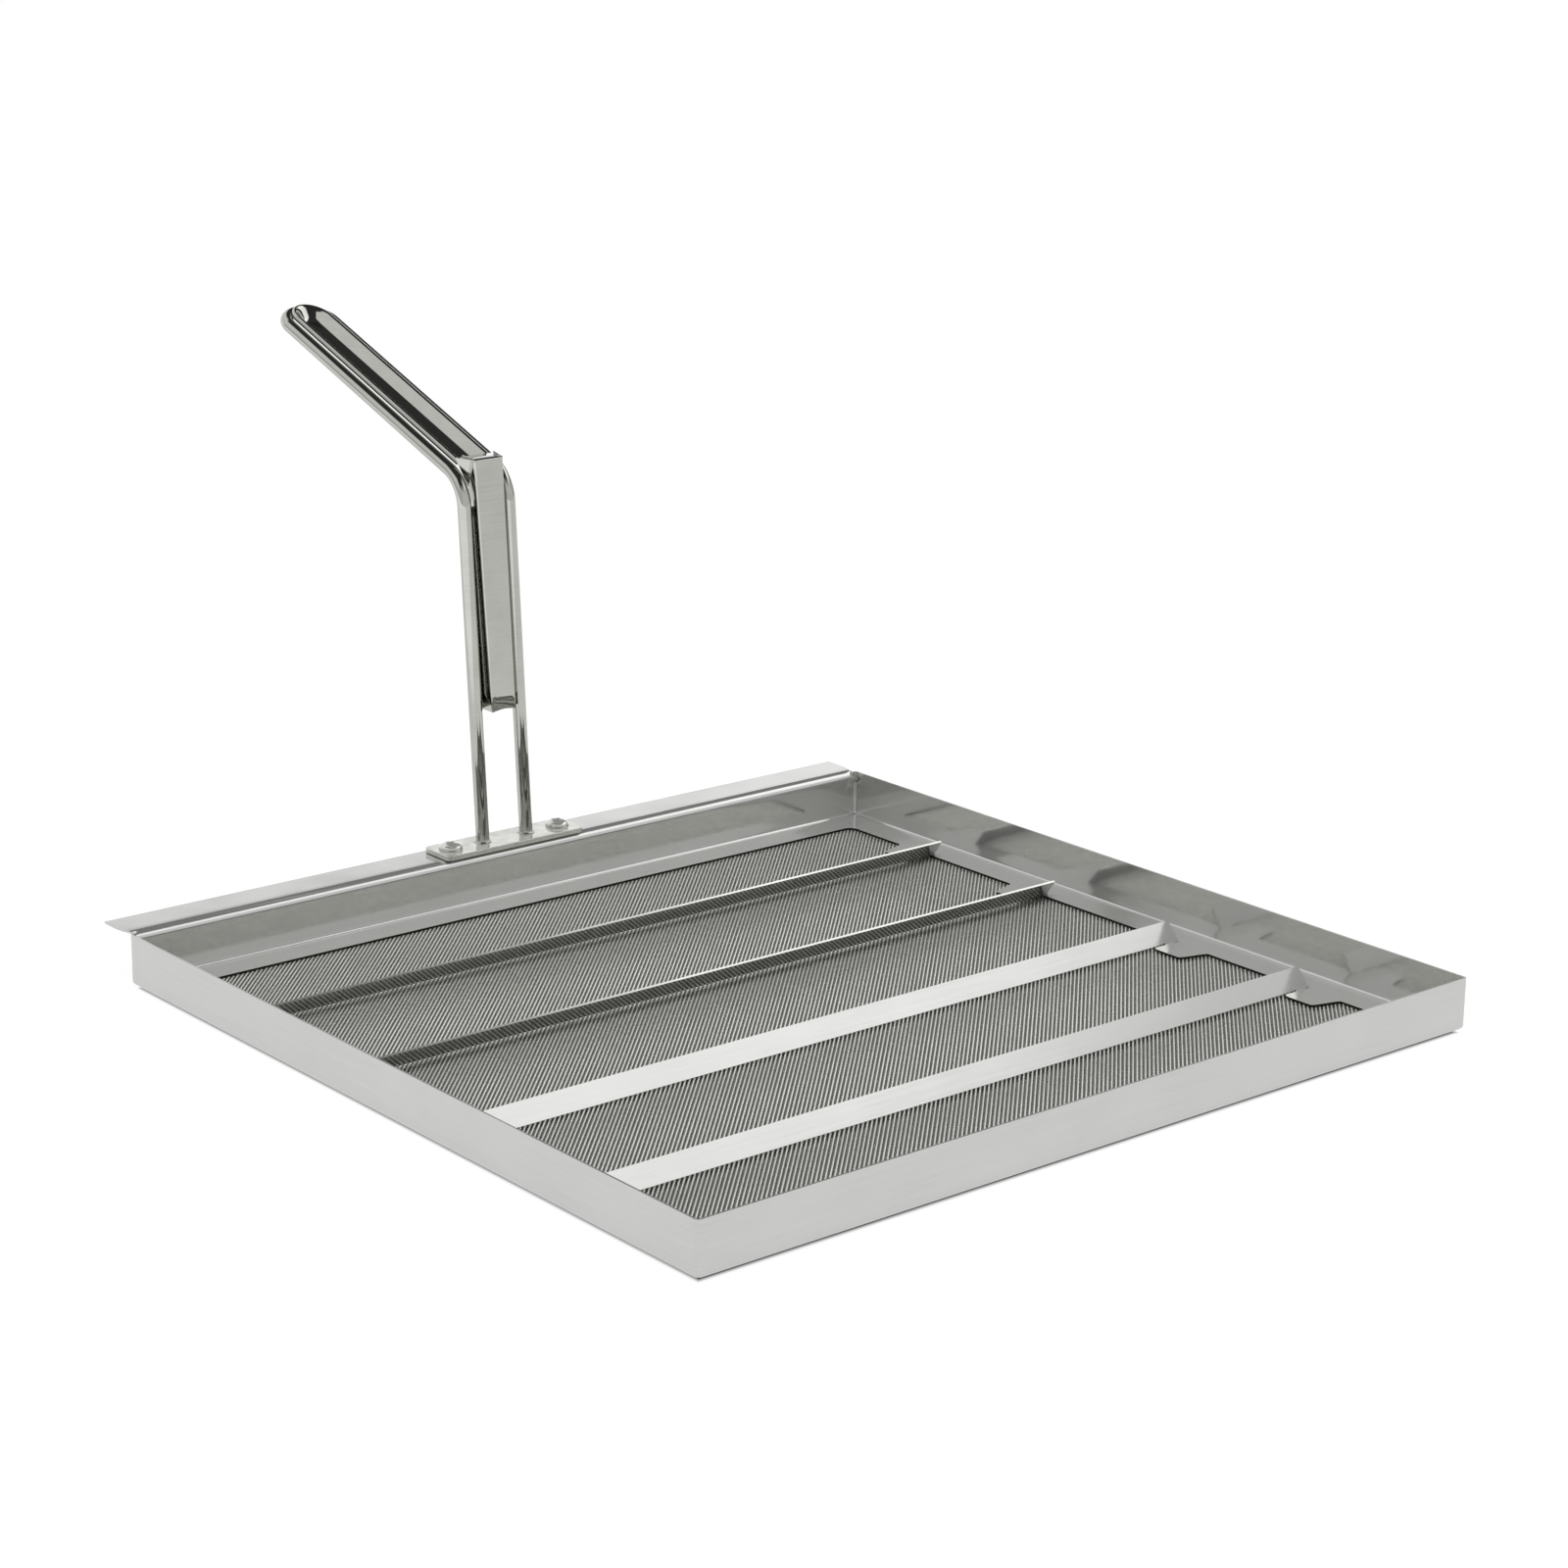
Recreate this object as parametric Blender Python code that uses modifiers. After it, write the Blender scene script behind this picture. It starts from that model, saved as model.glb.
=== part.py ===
"""Fryer crumb-screen tray: a shallow stainless pan with a wire-cloth floor, four
upturned ribs, a hanger flange along the rear and a bolted lift-out handle.

Frame: metres, +Z up, X along the rear wall, +Y towards the handle. The origin is the
bottom centre of the whole object's box, so the tray itself sits forward of it.
"""
import math

import bmesh
import bpy
from mathutils import Matrix, Vector

MM = 0.001

# Pan, folded from one sheet
TRAY_LENGTH = 450.0 * MM
TRAY_DEPTH = 430.0 * MM
WALL_HEIGHT = 25.0 * MM
SHEET = 1.0 * MM
BOTTOM_BEND = 2.0 * MM
CORNER_RADIUS = 2.2 * MM
LIP_WIDTH = 19.0 * MM
WINDOW_RADIUS = 5.0 * MM
GAP = 0.3 * MM

# Hanger flange along the rear wall
FLANGE_DEPTH = 23.0 * MM
FLANGE_BEND = 4.0 * MM

# Ribs turned up out of the floor sheet, and the tabs that carry them
RIB_TOP_Y = (126.5 * MM, 40.5 * MM)
RIB_RISE = 8.0 * MM
RIB_RUN = 6.0 * MM
RIB_END_CUT = 2.5 * MM
RIB_OVERLAP = 2.5 * MM
TAB_REACH = 15.0 * MM
TAB_DEPTH = 18.0 * MM
TAB_CURVE = 6.0 * MM

# Wire cloth and the strips that clamp it under the lip
CLAMP_THICKNESS = 0.8 * MM
CLAMP_WIDTH = 12.0 * MM
CLAMP_SETBACK = 6.0 * MM
CLOTH_THICKNESS = 0.4 * MM
CLOTH_CELLS_X = 18
CLOTH_CELLS_Y = 16
CLOTH_BAR = 2.4 * MM

# Handle foot plate and its fasteners
PLATE_LENGTH = 84.0 * MM
PLATE_DEPTH = 22.0 * MM
PLATE_THICKNESS = 2.6 * MM
PLATE_CORNER = 2.5 * MM
HANDLE_X = -2.4 * MM
HANDLE_Y = 225.0 * MM
SCREW_SPACING = 66.0 * MM
SCREW_SHANK = 6.0 * MM
SCREW_HEAD = 12.0 * MM
SCREW_HEAD_HEIGHT = 3.4 * MM
RECESS_LENGTH = 6.4 * MM
RECESS_WIDTH = 1.3 * MM
RECESS_DEPTH = 1.8 * MM
WASHER_DIAMETER = 12.5 * MM
WASHER_THICKNESS = 1.2 * MM
NUT_ACROSS_FLATS = 10.0 * MM
NUT_HEIGHT = 5.0 * MM
SCREW_TAIL = 1.6 * MM

# Handle rod: two legs, a knee and a grip closed by a loop
ROD_DIAMETER = 7.0 * MM
ROD_SPACING = 26.75 * MM
LEG_LEAN = math.radians(4.0)
KNEE_HEIGHT = 183.5 * MM
KNEE_RADIUS = 20.0 * MM
GRIP_RISE = math.radians(20.0)
GRIP_LENGTH = 165.875 * MM
WELD_RADIUS = 5.6 * MM
WELD_HEIGHT = 2.4 * MM

# Pressed sheet inserts of the handle
INSERT_SHEET = 0.9 * MM
CHANNEL_BOTTOM = 67.0 * MM
CHANNEL_SHOULDER = 172.0 * MM
CHANNEL_TOP = 194.0 * MM
CHANNEL_HALF_WIDTH = 8.6 * MM
CHANNEL_TAPER = 1.35 * MM
CHANNEL_FRONT = (6.25 * MM, 4.3 * MM)
CHANNEL_ARCH = 2.2 * MM
HOOD_DEPTH = 12.0 * MM
TROUGH_START = 11.0 * MM
TROUGH_SIDE = ((0.0, 0.0), (3.6, 0.0), (5.4, 0.5), (6.9, 2.1), (8.3, 3.95), (9.7, 5.7))
TROUGH_END = ((0.0, 0.0), (2.8, 0.0), (5.2, 0.5), (7.7, 2.0), (10.4, 4.0), (13.1, 5.7))

# Heights that follow from the stack under the pan
CLOTH_Z = CLAMP_THICKNESS + GAP
PAN_BOTTOM = CLOTH_Z + CLOTH_THICKNESS + GAP
RIM_Z = PAN_BOTTOM + WALL_HEIGHT
PLATE_Z = RIM_Z + GAP
PLATE_TOP = PLATE_Z + PLATE_THICKNESS
HOOK_RADIUS = FLANGE_BEND - SHEET

# Handle side view, worked out in the YZ plane
ROD_RADIUS = ROD_DIAMETER / 2
LOOP_RADIUS = ROD_SPACING / 2
FOOT_Z = PLATE_TOP + GAP
LEG_DIR = Vector((0.0, math.sin(LEG_LEAN), math.cos(LEG_LEAN)))
GRIP_DIR = Vector((0.0, math.cos(GRIP_RISE), math.sin(GRIP_RISE)))
GRIP_UP = Vector((0.0, -math.sin(GRIP_RISE), math.cos(GRIP_RISE)))
KNEE_Y = HANDLE_Y + KNEE_HEIGHT * math.tan(LEG_LEAN)
KNEE = Vector((HANDLE_X, KNEE_Y, PLATE_TOP + KNEE_HEIGHT))
LOOP_CENTRE = KNEE + GRIP_DIR * GRIP_LENGTH

# The object's box runs from the front wall to the end of the handle loop
BOX_FRONT = -TRAY_DEPTH / 2
BOX_REAR = LOOP_CENTRE.y + LOOP_RADIUS * math.cos(GRIP_RISE) + ROD_RADIUS
ORIGIN_SHIFT = -(BOX_FRONT + BOX_REAR) / 2

ARC_STEPS = 6
HOLE_STEPS = 24


def clear_scene():
    """Remove every object of the open scene."""
    for obj in list(bpy.data.objects):
        bpy.data.objects.remove(obj, do_unlink=True)


def new_collection(name):
    """Add a collection to the scene."""
    collection = bpy.data.collections.new(name)
    bpy.context.scene.collection.children.link(collection)
    return collection


def steel(name, colour, roughness):
    """A stainless finish as a Principled material."""
    material = bpy.data.materials.new(name)
    material.use_nodes = True
    shader = material.node_tree.nodes["Principled BSDF"]
    shader.inputs["Base Color"].default_value = (*colour, 1.0)
    shader.inputs["Metallic"].default_value = 1.0
    shader.inputs["Roughness"].default_value = roughness
    material.diffuse_color = (*colour, 1.0)
    return material


class Workshop:
    """Holds the collections, the finishes and the empty that carries every piece."""

    def __init__(self):
        self.parts = new_collection("fryer_screen_tray")
        self.cutters = new_collection("cutters")
        self.satin = steel("satin_stainless_sheet", (0.58, 0.58, 0.57), 0.32)
        self.cloth = steel("woven_stainless_wire", (0.42, 0.42, 0.40), 0.40)
        self.polished = steel("polished_stainless", (0.64, 0.64, 0.63), 0.12)
        self.weld = steel("weld_bead", (0.50, 0.49, 0.47), 0.45)
        self.origin = bpy.data.objects.new("tray_centre", None)
        self.origin.location = (0.0, ORIGIN_SHIFT, 0.0)
        self.parts.objects.link(self.origin)

    def place(self, name, data, material):
        """Make a named piece from mesh or curve data and hang it on the tray's empty."""
        obj = bpy.data.objects.new(name, data)
        data.materials.append(material)
        self.parts.objects.link(obj)
        obj.parent = self.origin
        return obj

    def cutter(self, name, mesh):
        """Make a hidden tool body that is subtracted from a piece."""
        obj = bpy.data.objects.new(name, mesh)
        obj.hide_render = True
        obj.display_type = "WIRE"
        self.cutters.objects.link(obj)
        obj.parent = self.origin
        return obj


def mesh_from(name, bm):
    """Store a bmesh as mesh data."""
    mesh = bpy.data.meshes.new(name)
    bm.to_mesh(mesh)
    bm.free()
    return mesh


def arc(centre, radius, start, end, steps=ARC_STEPS):
    """Points of an arc in a plane, angles in degrees."""
    points = []
    for i in range(steps + 1):
        angle = math.radians(start + (end - start) * i / steps)
        points.append((centre[0] + radius * math.cos(angle), centre[1] + radius * math.sin(angle)))
    return points


def circle(centre, radius, steps=HOLE_STEPS):
    """A closed ring of points."""
    return arc(centre, radius, 0.0, 360.0 * (steps - 1) / steps, steps - 1)


def solidify(obj, thickness, offset):
    """Give an open sheet its thickness."""
    wall = obj.modifiers.new("sheet", "SOLIDIFY")
    wall.thickness = thickness
    wall.offset = offset
    wall.use_even_offset = True


def flat_plate(shop, name, outlines, thickness, base_z, material):
    """A flat piece cut to outlines: the first is its edge, the others are holes."""
    curve = bpy.data.curves.new(name, "CURVE")
    curve.dimensions = "2D"
    curve.fill_mode = "BOTH"
    curve.extrude = thickness / 2
    for outline in outlines:
        spline = curve.splines.new("POLY")
        spline.points.add(len(outline) - 1)
        for point, (x, y) in zip(spline.points, outline):
            point.co = (x, y, 0.0, 1.0)
        spline.use_cyclic_u = True
    plate = shop.place(name, curve, material)
    plate.location.z = base_z + thickness / 2
    return plate


def folded_strip(shop, name, profile, half_length, turn, material):
    """A sheet folded to a profile of (out, up) points, straight along its length.

    The profile lies across local Y and Z, the length along local X, and turn is the
    rotation about Z that faces the strip to its side of the tray.
    """
    bm = bmesh.new()
    rows = []
    for x in (-half_length, half_length):
        rows.append([bm.verts.new((x, out, up)) for out, up in profile])
    for i in range(len(profile) - 1):
        bm.faces.new((rows[0][i], rows[1][i], rows[1][i + 1], rows[0][i + 1]))
    strip = shop.place(name, mesh_from(name, bm), material)
    strip.rotation_euler.z = turn
    solidify(strip, SHEET, -1.0)
    return strip


def turned(shop, name, profile, location, material):
    """A turned piece from its (radius, height) profile, listed from top to bottom."""
    bm = bmesh.new()
    verts = [bm.verts.new((r, 0.0, z)) for r, z in profile]
    for a, b in zip(verts, verts[1:]):
        bm.edges.new((a, b))
    piece = shop.place(name, mesh_from(name, bm), material)
    piece.location = location
    spin = piece.modifiers.new("turn", "SCREW")
    spin.angle = math.tau
    spin.steps = HOLE_STEPS
    spin.render_steps = HOLE_STEPS
    spin.use_merge_vertices = True
    spin.merge_threshold = 0.00001
    spin.use_smooth_shade = True
    return piece


def build_walls(shop):
    """The four walls with their bottom bend, and the welded corner posts."""
    base = PAN_BOTTOM
    bend = arc((-BOTTOM_BEND, base + BOTTOM_BEND), BOTTOM_BEND, 0.0, -90.0)
    plain = [(0.0, RIM_Z)] + bend
    hook = arc((HOOK_RADIUS, RIM_Z - FLANGE_BEND), HOOK_RADIUS, 90.0, 180.0)
    rear = hook + bend
    long_half = TRAY_LENGTH / 2 - CORNER_RADIUS - GAP
    short_half = TRAY_DEPTH / 2 - CORNER_RADIUS - GAP
    sides = (
        ("front_wall", plain, TRAY_DEPTH / 2, long_half, math.pi),
        ("rear_wall", rear, TRAY_DEPTH / 2, long_half, 0.0),
        ("left_wall", plain, TRAY_LENGTH / 2, short_half, math.pi / 2),
        ("right_wall", plain, TRAY_LENGTH / 2, short_half, -math.pi / 2),
    )
    for name, profile, reach, half_length, turn in sides:
        placed = [(out + reach, up) for out, up in profile]
        folded_strip(shop, name, placed, half_length, turn, shop.satin)

    corners = (
        ("corner_weld_front_left", 180.0, -1, -1),
        ("corner_weld_front_right", 270.0, 1, -1),
        ("corner_weld_rear_right", 0.0, 1, 1),
        ("corner_weld_rear_left", 90.0, -1, 1),
    )
    for name, start, side_x, side_y in corners:
        centre = (
            side_x * (TRAY_LENGTH / 2 - CORNER_RADIUS),
            side_y * (TRAY_DEPTH / 2 - CORNER_RADIUS),
        )
        post = [centre] + arc(centre, CORNER_RADIUS, start, start + 90.0)
        height = WALL_HEIGHT - FLANGE_BEND if side_y > 0 else WALL_HEIGHT
        flat_plate(shop, name, [post], height, base, shop.weld)


def build_flange(shop):
    """The flat hanger flange, with the two screw holes of the handle."""
    front = TRAY_DEPTH / 2 + HOOK_RADIUS + GAP
    rear = TRAY_DEPTH / 2 + FLANGE_DEPTH
    half = TRAY_LENGTH / 2
    edge = [(-half, front), (half, front), (half, rear), (-half, rear)]
    hole = SCREW_SHANK / 2 + GAP
    screws = [HANDLE_X + side * SCREW_SPACING / 2 for side in (-1, 1)]
    holes = [circle((x, HANDLE_Y), hole) for x in screws]
    flat_plate(shop, "hanger_flange", [edge] + holes, SHEET, RIM_Z - SHEET, shop.satin)


def rib_bases():
    """Signed (base y, lean) of the ribs, rear to front; lean is the way the top goes."""
    rear = [(top + RIB_RUN, -1) for top in RIB_TOP_Y]
    front = [(-top - RIB_RUN, 1) for top in reversed(RIB_TOP_Y)]
    return rear + front


def tab_outline(edge_x, base_y, away):
    """One rib tab as points running along +Y or -Y, in an S-curve back to the lip."""
    inner = edge_x - TAB_REACH
    end = base_y + away * TAB_DEPTH
    corner = WINDOW_RADIUS / 2
    points = [(edge_x, base_y), (inner + corner, base_y), (inner, base_y + away * corner)]
    steps = 8
    for i in range(steps + 1):
        t = i / steps
        swing = (1 - math.cos(math.pi * t)) / 2
        points.append((inner + TAB_REACH * swing, end + away * TAB_CURVE * t))
    return points


def build_lips(shop):
    """The inward bottom lip in four strips; the side strips carry the rib tabs."""
    lip_x = TRAY_LENGTH / 2 - LIP_WIDTH
    lip_y = TRAY_DEPTH / 2 - LIP_WIDTH
    root_x = TRAY_LENGTH / 2 - CORNER_RADIUS - GAP
    root_y = TRAY_DEPTH / 2 - CORNER_RADIUS - GAP
    end_y = lip_y - WINDOW_RADIUS

    fillet = arc((lip_x - WINDOW_RADIUS, end_y), WINDOW_RADIUS, 0.0, 90.0)
    half = [(root_x, root_y), (root_x, end_y)] + fillet
    mirrored = [(-x, y) for x, y in reversed(half)]
    rear = half + mirrored
    front = [(x, -y) for x, y in reversed(rear)]
    flat_plate(shop, "rear_lip", [rear], SHEET, PAN_BOTTOM, shop.satin)
    flat_plate(shop, "front_lip", [front], SHEET, PAN_BOTTOM, shop.satin)

    stop = end_y - GAP
    inner = [(lip_x, stop)]
    for base_y, lean in rib_bases():
        tab = tab_outline(lip_x, base_y, -lean)
        inner += tab if lean > 0 else list(reversed(tab))
    inner.append((lip_x, -stop))
    right = [(root_x, -stop), (root_x, stop)] + inner
    left = [(-x, y) for x, y in reversed(right)]
    flat_plate(shop, "right_lip", [right], SHEET, PAN_BOTTOM, shop.satin)
    flat_plate(shop, "left_lip", [left], SHEET, PAN_BOTTOM, shop.satin)


def build_ribs(shop):
    """Four flat strips turned up from the tabs, the tops towards the tray's middle."""
    half = TRAY_LENGTH / 2 - LIP_WIDTH + RIB_OVERLAP
    width = math.hypot(RIB_RISE, RIB_RUN)
    tilt = math.atan2(RIB_RISE, RIB_RUN)
    outline = [(-half, 0.0), (half, 0.0), (half - RIB_END_CUT, width), (RIB_END_CUT - half, width)]
    base_z = PAN_BOTTOM + SHEET + GAP
    for number, (base_y, lean) in enumerate(rib_bases(), start=1):
        rib = flat_plate(shop, f"rib_{number}", [outline], SHEET, 0.0, shop.satin)
        turn = Matrix.Rotation(0.0 if lean > 0 else math.pi, 4, "Z")
        lift = Matrix.Translation((0.0, base_y, base_z))
        clear = Matrix.Translation((0.0, SHEET * math.sin(tilt), 0.0))
        stand = Matrix.Rotation(tilt, 4, "X") @ Matrix.Translation((0.0, 0.0, SHEET / 2))
        rib.matrix_basis = lift @ turn @ clear @ stand


def build_cloth(shop):
    """The wire cloth as a coarse flat net, and the four strips that clamp it."""
    half_x = TRAY_LENGTH / 2 - CLAMP_SETBACK
    half_y = TRAY_DEPTH / 2 - CLAMP_SETBACK
    bm = bmesh.new()
    bmesh.ops.create_grid(bm, x_segments=CLOTH_CELLS_X, y_segments=CLOTH_CELLS_Y, size=1.0)
    bmesh.ops.scale(bm, vec=(half_x, half_y, 1.0), verts=bm.verts)
    cells = list(bm.faces)
    bmesh.ops.inset_individual(bm, faces=cells, thickness=CLOTH_BAR / 2, use_even_offset=True)
    bmesh.ops.delete(bm, geom=cells, context="FACES")
    cloth = shop.place("mesh_screen", mesh_from("mesh_screen", bm), shop.cloth)
    cloth.location.z = CLOTH_Z + CLOTH_THICKNESS / 2
    solidify(cloth, CLOTH_THICKNESS, 0.0)

    inner_x = half_x - CLAMP_WIDTH
    inner_y = half_y - CLAMP_WIDTH
    boxes = (
        ("clamp_strip_front", (-half_x, -half_y), (half_x, -inner_y)),
        ("clamp_strip_rear", (-half_x, inner_y), (half_x, half_y)),
        ("clamp_strip_left", (-half_x, GAP - inner_y), (-inner_x, inner_y - GAP)),
        ("clamp_strip_right", (inner_x, GAP - inner_y), (half_x, inner_y - GAP)),
    )
    for name, low, high in boxes:
        edge = [low, (high[0], low[1]), high, (low[0], high[1])]
        flat_plate(shop, name, [edge], CLAMP_THICKNESS, 0.0, shop.satin)


def rounded_rectangle(half_x, half_y, radius, middle):
    """A rectangle outline with round corners."""
    points = []
    corners = ((1, 1, 0.0), (-1, 1, 90.0), (-1, -1, 180.0), (1, -1, 270.0))
    for side_x, side_y, start in corners:
        centre = (middle[0] + side_x * (half_x - radius), middle[1] + side_y * (half_y - radius))
        points += arc(centre, radius, start, start + 90.0, 4)
    return points


def build_foot_plate(shop):
    """The foot plate, its two screws with washers and nuts, and the rod welds."""
    hole = SCREW_SHANK / 2 + GAP
    sides = (("left", -1), ("right", 1))
    middle = (HANDLE_X, HANDLE_Y)
    edge = rounded_rectangle(PLATE_LENGTH / 2, PLATE_DEPTH / 2, PLATE_CORNER, middle)
    holes = [circle((HANDLE_X + side * SCREW_SPACING / 2, HANDLE_Y), hole) for _, side in sides]
    flat_plate(shop, "handle_plate", [edge] + holes, PLATE_THICKNESS, PLATE_Z, shop.polished)

    washer_z = RIM_Z - SHEET - GAP - WASHER_THICKNESS
    nut_z = washer_z - GAP - NUT_HEIGHT
    head_z = PLATE_TOP + GAP
    shank = SCREW_SHANK / 2
    head = SCREW_HEAD / 2
    crown = arc((0.0, 0.0), 1.0, 90.0, 0.0, 5)
    dome = [(head * x, SCREW_HEAD_HEIGHT * (0.35 + 0.65 * y)) for x, y in crown]
    screw_profile = dome + [(head, 0.0), (shank, 0.0), (shank, nut_z - SCREW_TAIL - head_z)]
    screw_profile.append((0.0, nut_z - SCREW_TAIL - head_z))
    screw_profile[0] = (0.0, SCREW_HEAD_HEIGHT)
    weld_profile = [
        (ROD_RADIUS + GAP, WELD_HEIGHT),
        (ROD_RADIUS + 0.4 * (WELD_RADIUS - ROD_RADIUS), 0.8 * WELD_HEIGHT),
        (WELD_RADIUS, 0.2 * WELD_HEIGHT),
        (WELD_RADIUS, 0.0),
        (ROD_RADIUS + GAP, 0.0),
        (ROD_RADIUS + GAP, WELD_HEIGHT),
    ]
    for word, side in sides:
        x = HANDLE_X + side * SCREW_SPACING / 2
        screw = turned(shop, f"screw_{word}", screw_profile, (x, HANDLE_Y, head_z), shop.polished)
        cut_recess(shop, screw, word)
        ring = [circle((x, HANDLE_Y), WASHER_DIAMETER / 2), circle((x, HANDLE_Y), hole)]
        flat_plate(shop, f"washer_{word}", ring, WASHER_THICKNESS, washer_z, shop.satin)
        hexagon = circle((x, HANDLE_Y), NUT_ACROSS_FLATS / math.sqrt(3.0), 6)
        bore = circle((x, HANDLE_Y), hole)
        flat_plate(shop, f"nut_{word}", [hexagon, bore], NUT_HEIGHT, nut_z, shop.satin)
        foot = (HANDLE_X + side * ROD_SPACING / 2, HANDLE_Y, PLATE_TOP + GAP)
        turned(shop, f"foot_weld_{word}", weld_profile, foot, shop.weld)


def cut_recess(shop, screw, word):
    """Cut the cross recess into a screw head."""
    bm = bmesh.new()
    for length, width in ((RECESS_LENGTH, RECESS_WIDTH), (RECESS_WIDTH, RECESS_LENGTH)):
        made = bmesh.ops.create_cube(bm, size=1.0)
        bmesh.ops.scale(bm, vec=(length, width, 2 * RECESS_DEPTH), verts=made["verts"])
    tool = shop.cutter(f"recess_{word}", mesh_from(f"recess_{word}", bm))
    tool.location = screw.location + Vector((0.0, 0.0, SCREW_HEAD_HEIGHT))
    cut = screw.modifiers.new("recess", "BOOLEAN")
    cut.operation = "DIFFERENCE"
    cut.solver = "EXACT"
    cut.use_self = True
    cut.object = tool


def knee_points(x):
    """One side of the rod from its foot over the knee to the start of the loop."""
    turn = math.acos(LEG_DIR.dot(GRIP_DIR))
    reach = KNEE_RADIUS * math.tan(turn / 2)
    start = KNEE - LEG_DIR * reach
    inward = (GRIP_DIR - LEG_DIR * LEG_DIR.dot(GRIP_DIR)).normalized()
    centre = start + inward * KNEE_RADIUS
    foot = KNEE - LEG_DIR * ((KNEE.z - FOOT_Z) / LEG_DIR.z)
    points = [foot]
    steps = 8
    for i in range(steps + 1):
        angle = turn * i / steps
        spoke = LEG_DIR * math.sin(angle) - inward * math.cos(angle)
        points.append(centre + spoke * KNEE_RADIUS)
    return [Vector((x, p.y, p.z)) for p in points]


def build_rod(shop):
    """The handle rod, one bar bent from foot to foot."""
    left = knee_points(HANDLE_X - LOOP_RADIUS)
    right = knee_points(HANDLE_X + LOOP_RADIUS)
    loop = []
    steps = 16
    for i in range(steps + 1):
        angle = math.pi * i / steps
        side = Vector((-LOOP_RADIUS * math.cos(angle), 0.0, 0.0))
        loop.append(LOOP_CENTRE + side + GRIP_DIR * LOOP_RADIUS * math.sin(angle))
    path = left + loop + list(reversed(right))
    curve = bpy.data.curves.new("handle_rod", "CURVE")
    curve.dimensions = "3D"
    curve.bevel_depth = ROD_RADIUS
    curve.bevel_resolution = 4
    curve.use_fill_caps = True
    spline = curve.splines.new("POLY")
    spline.points.add(len(path) - 1)
    for point, place in zip(spline.points, path):
        point.co = (*place, 1.0)
    shop.place("handle_rod", curve, shop.polished)


def leg_y(z):
    """Where the legs' centre line stands at a height."""
    return KNEE.y + (z - KNEE.z) * math.tan(LEG_LEAN)


def build_channel(shop):
    """The lower insert: a channel between the legs, hooked behind them, with a hood."""
    back = ROD_RADIUS + GAP + INSERT_SHEET
    flange = LOOP_RADIUS
    bm = bmesh.new()
    rings = []
    levels = ((CHANNEL_BOTTOM, CHANNEL_HALF_WIDTH - CHANNEL_TAPER, CHANNEL_FRONT[0]),
              (CHANNEL_SHOULDER, CHANNEL_HALF_WIDTH, CHANNEL_FRONT[1]))
    for height, half, front in levels:
        z = PLATE_TOP + height
        y = leg_y(z)
        left = [(-flange, back), (-half, back), (-half, -front)]
        row = left + [(-x, out) for x, out in reversed(left)]
        rings.append([bm.verts.new((HANDLE_X + x, y + out, z)) for x, out in row])
    low, high = rings

    arch = []
    steps = 6
    for i in range(1, steps):
        t = i / steps
        rise = CHANNEL_ARCH * math.sin(math.pi * t)
        point = low[2].co.lerp(low[3].co, t)
        arch.append(bm.verts.new((point.x, point.y, point.z + rise)))
    for i in (0, 1, 3, 4):
        bm.faces.new((low[i], low[i + 1], high[i + 1], high[i]))
    bm.faces.new([low[2]] + arch + [low[3], high[3], high[2]])

    top_z = PLATE_TOP + CHANNEL_TOP
    front_y = leg_y(top_z) - CHANNEL_FRONT[1]
    half = CHANNEL_HALF_WIDTH
    corners = (HANDLE_X - half, HANDLE_X + half)
    top = [bm.verts.new((x, front_y, top_z)) for x in corners]
    hood = [bm.verts.new((x, front_y + HOOD_DEPTH, top_z)) for x in corners]
    bm.faces.new((high[2], high[3], top[1], top[0]))
    bm.faces.new((high[1], high[2], top[0], hood[0]))
    bm.faces.new((high[3], high[4], hood[1], top[1]))
    bm.faces.new((top[0], top[1], hood[1], hood[0]))
    channel = shop.place("grip_channel", mesh_from("grip_channel", bm), shop.polished)
    solidify(channel, INSERT_SHEET, -1.0)


def build_trough(shop):
    """The upper insert: a trough between the grip rods with a spoon end on the loop."""
    stations = [(-1.0, 0.0, TROUGH_START), (-1.0, 0.0, GRIP_LENGTH)]
    steps = 10
    for i in range(1, steps):
        angle = math.pi * i / steps
        stations.append((-math.cos(angle), math.sin(angle), GRIP_LENGTH))
    stations += [(1.0, 0.0, GRIP_LENGTH), (1.0, 0.0, TROUGH_START)]

    bm = bmesh.new()
    rows = []
    for across, along, base in stations:
        row = []
        for (side, low), (end, high) in zip(TROUGH_SIDE, TROUGH_END):
            rise = (low + (high - low) * along) * MM
            place = KNEE + GRIP_DIR * (base + end * along * MM) + GRIP_UP * rise
            row.append(bm.verts.new(place + Vector((side * across * MM, 0.0, 0.0))))
        rows.append(row)
    for a, b in zip(rows, rows[1:]):
        for i in range(len(TROUGH_SIDE) - 1):
            bm.faces.new((a[i], a[i + 1], b[i + 1], b[i]))
    bmesh.ops.remove_doubles(bm, verts=bm.verts, dist=0.00001)
    bmesh.ops.dissolve_degenerate(bm, edges=bm.edges, dist=0.00001)
    bmesh.ops.recalc_face_normals(bm, faces=bm.faces)
    trough = shop.place("grip_trough", mesh_from("grip_trough", bm), shop.polished)
    floor = max(trough.data.polygons, key=lambda face: face.area)
    outward = -1.0 if floor.normal.dot(GRIP_UP) > 0 else 1.0
    solidify(trough, INSERT_SHEET, outward)


def main():
    """Build the tray, then the handle."""
    clear_scene()
    shop = Workshop()
    build_walls(shop)
    build_flange(shop)
    build_lips(shop)
    build_ribs(shop)
    build_cloth(shop)
    build_foot_plate(shop)
    build_rod(shop)
    build_channel(shop)
    build_trough(shop)


main()
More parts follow.
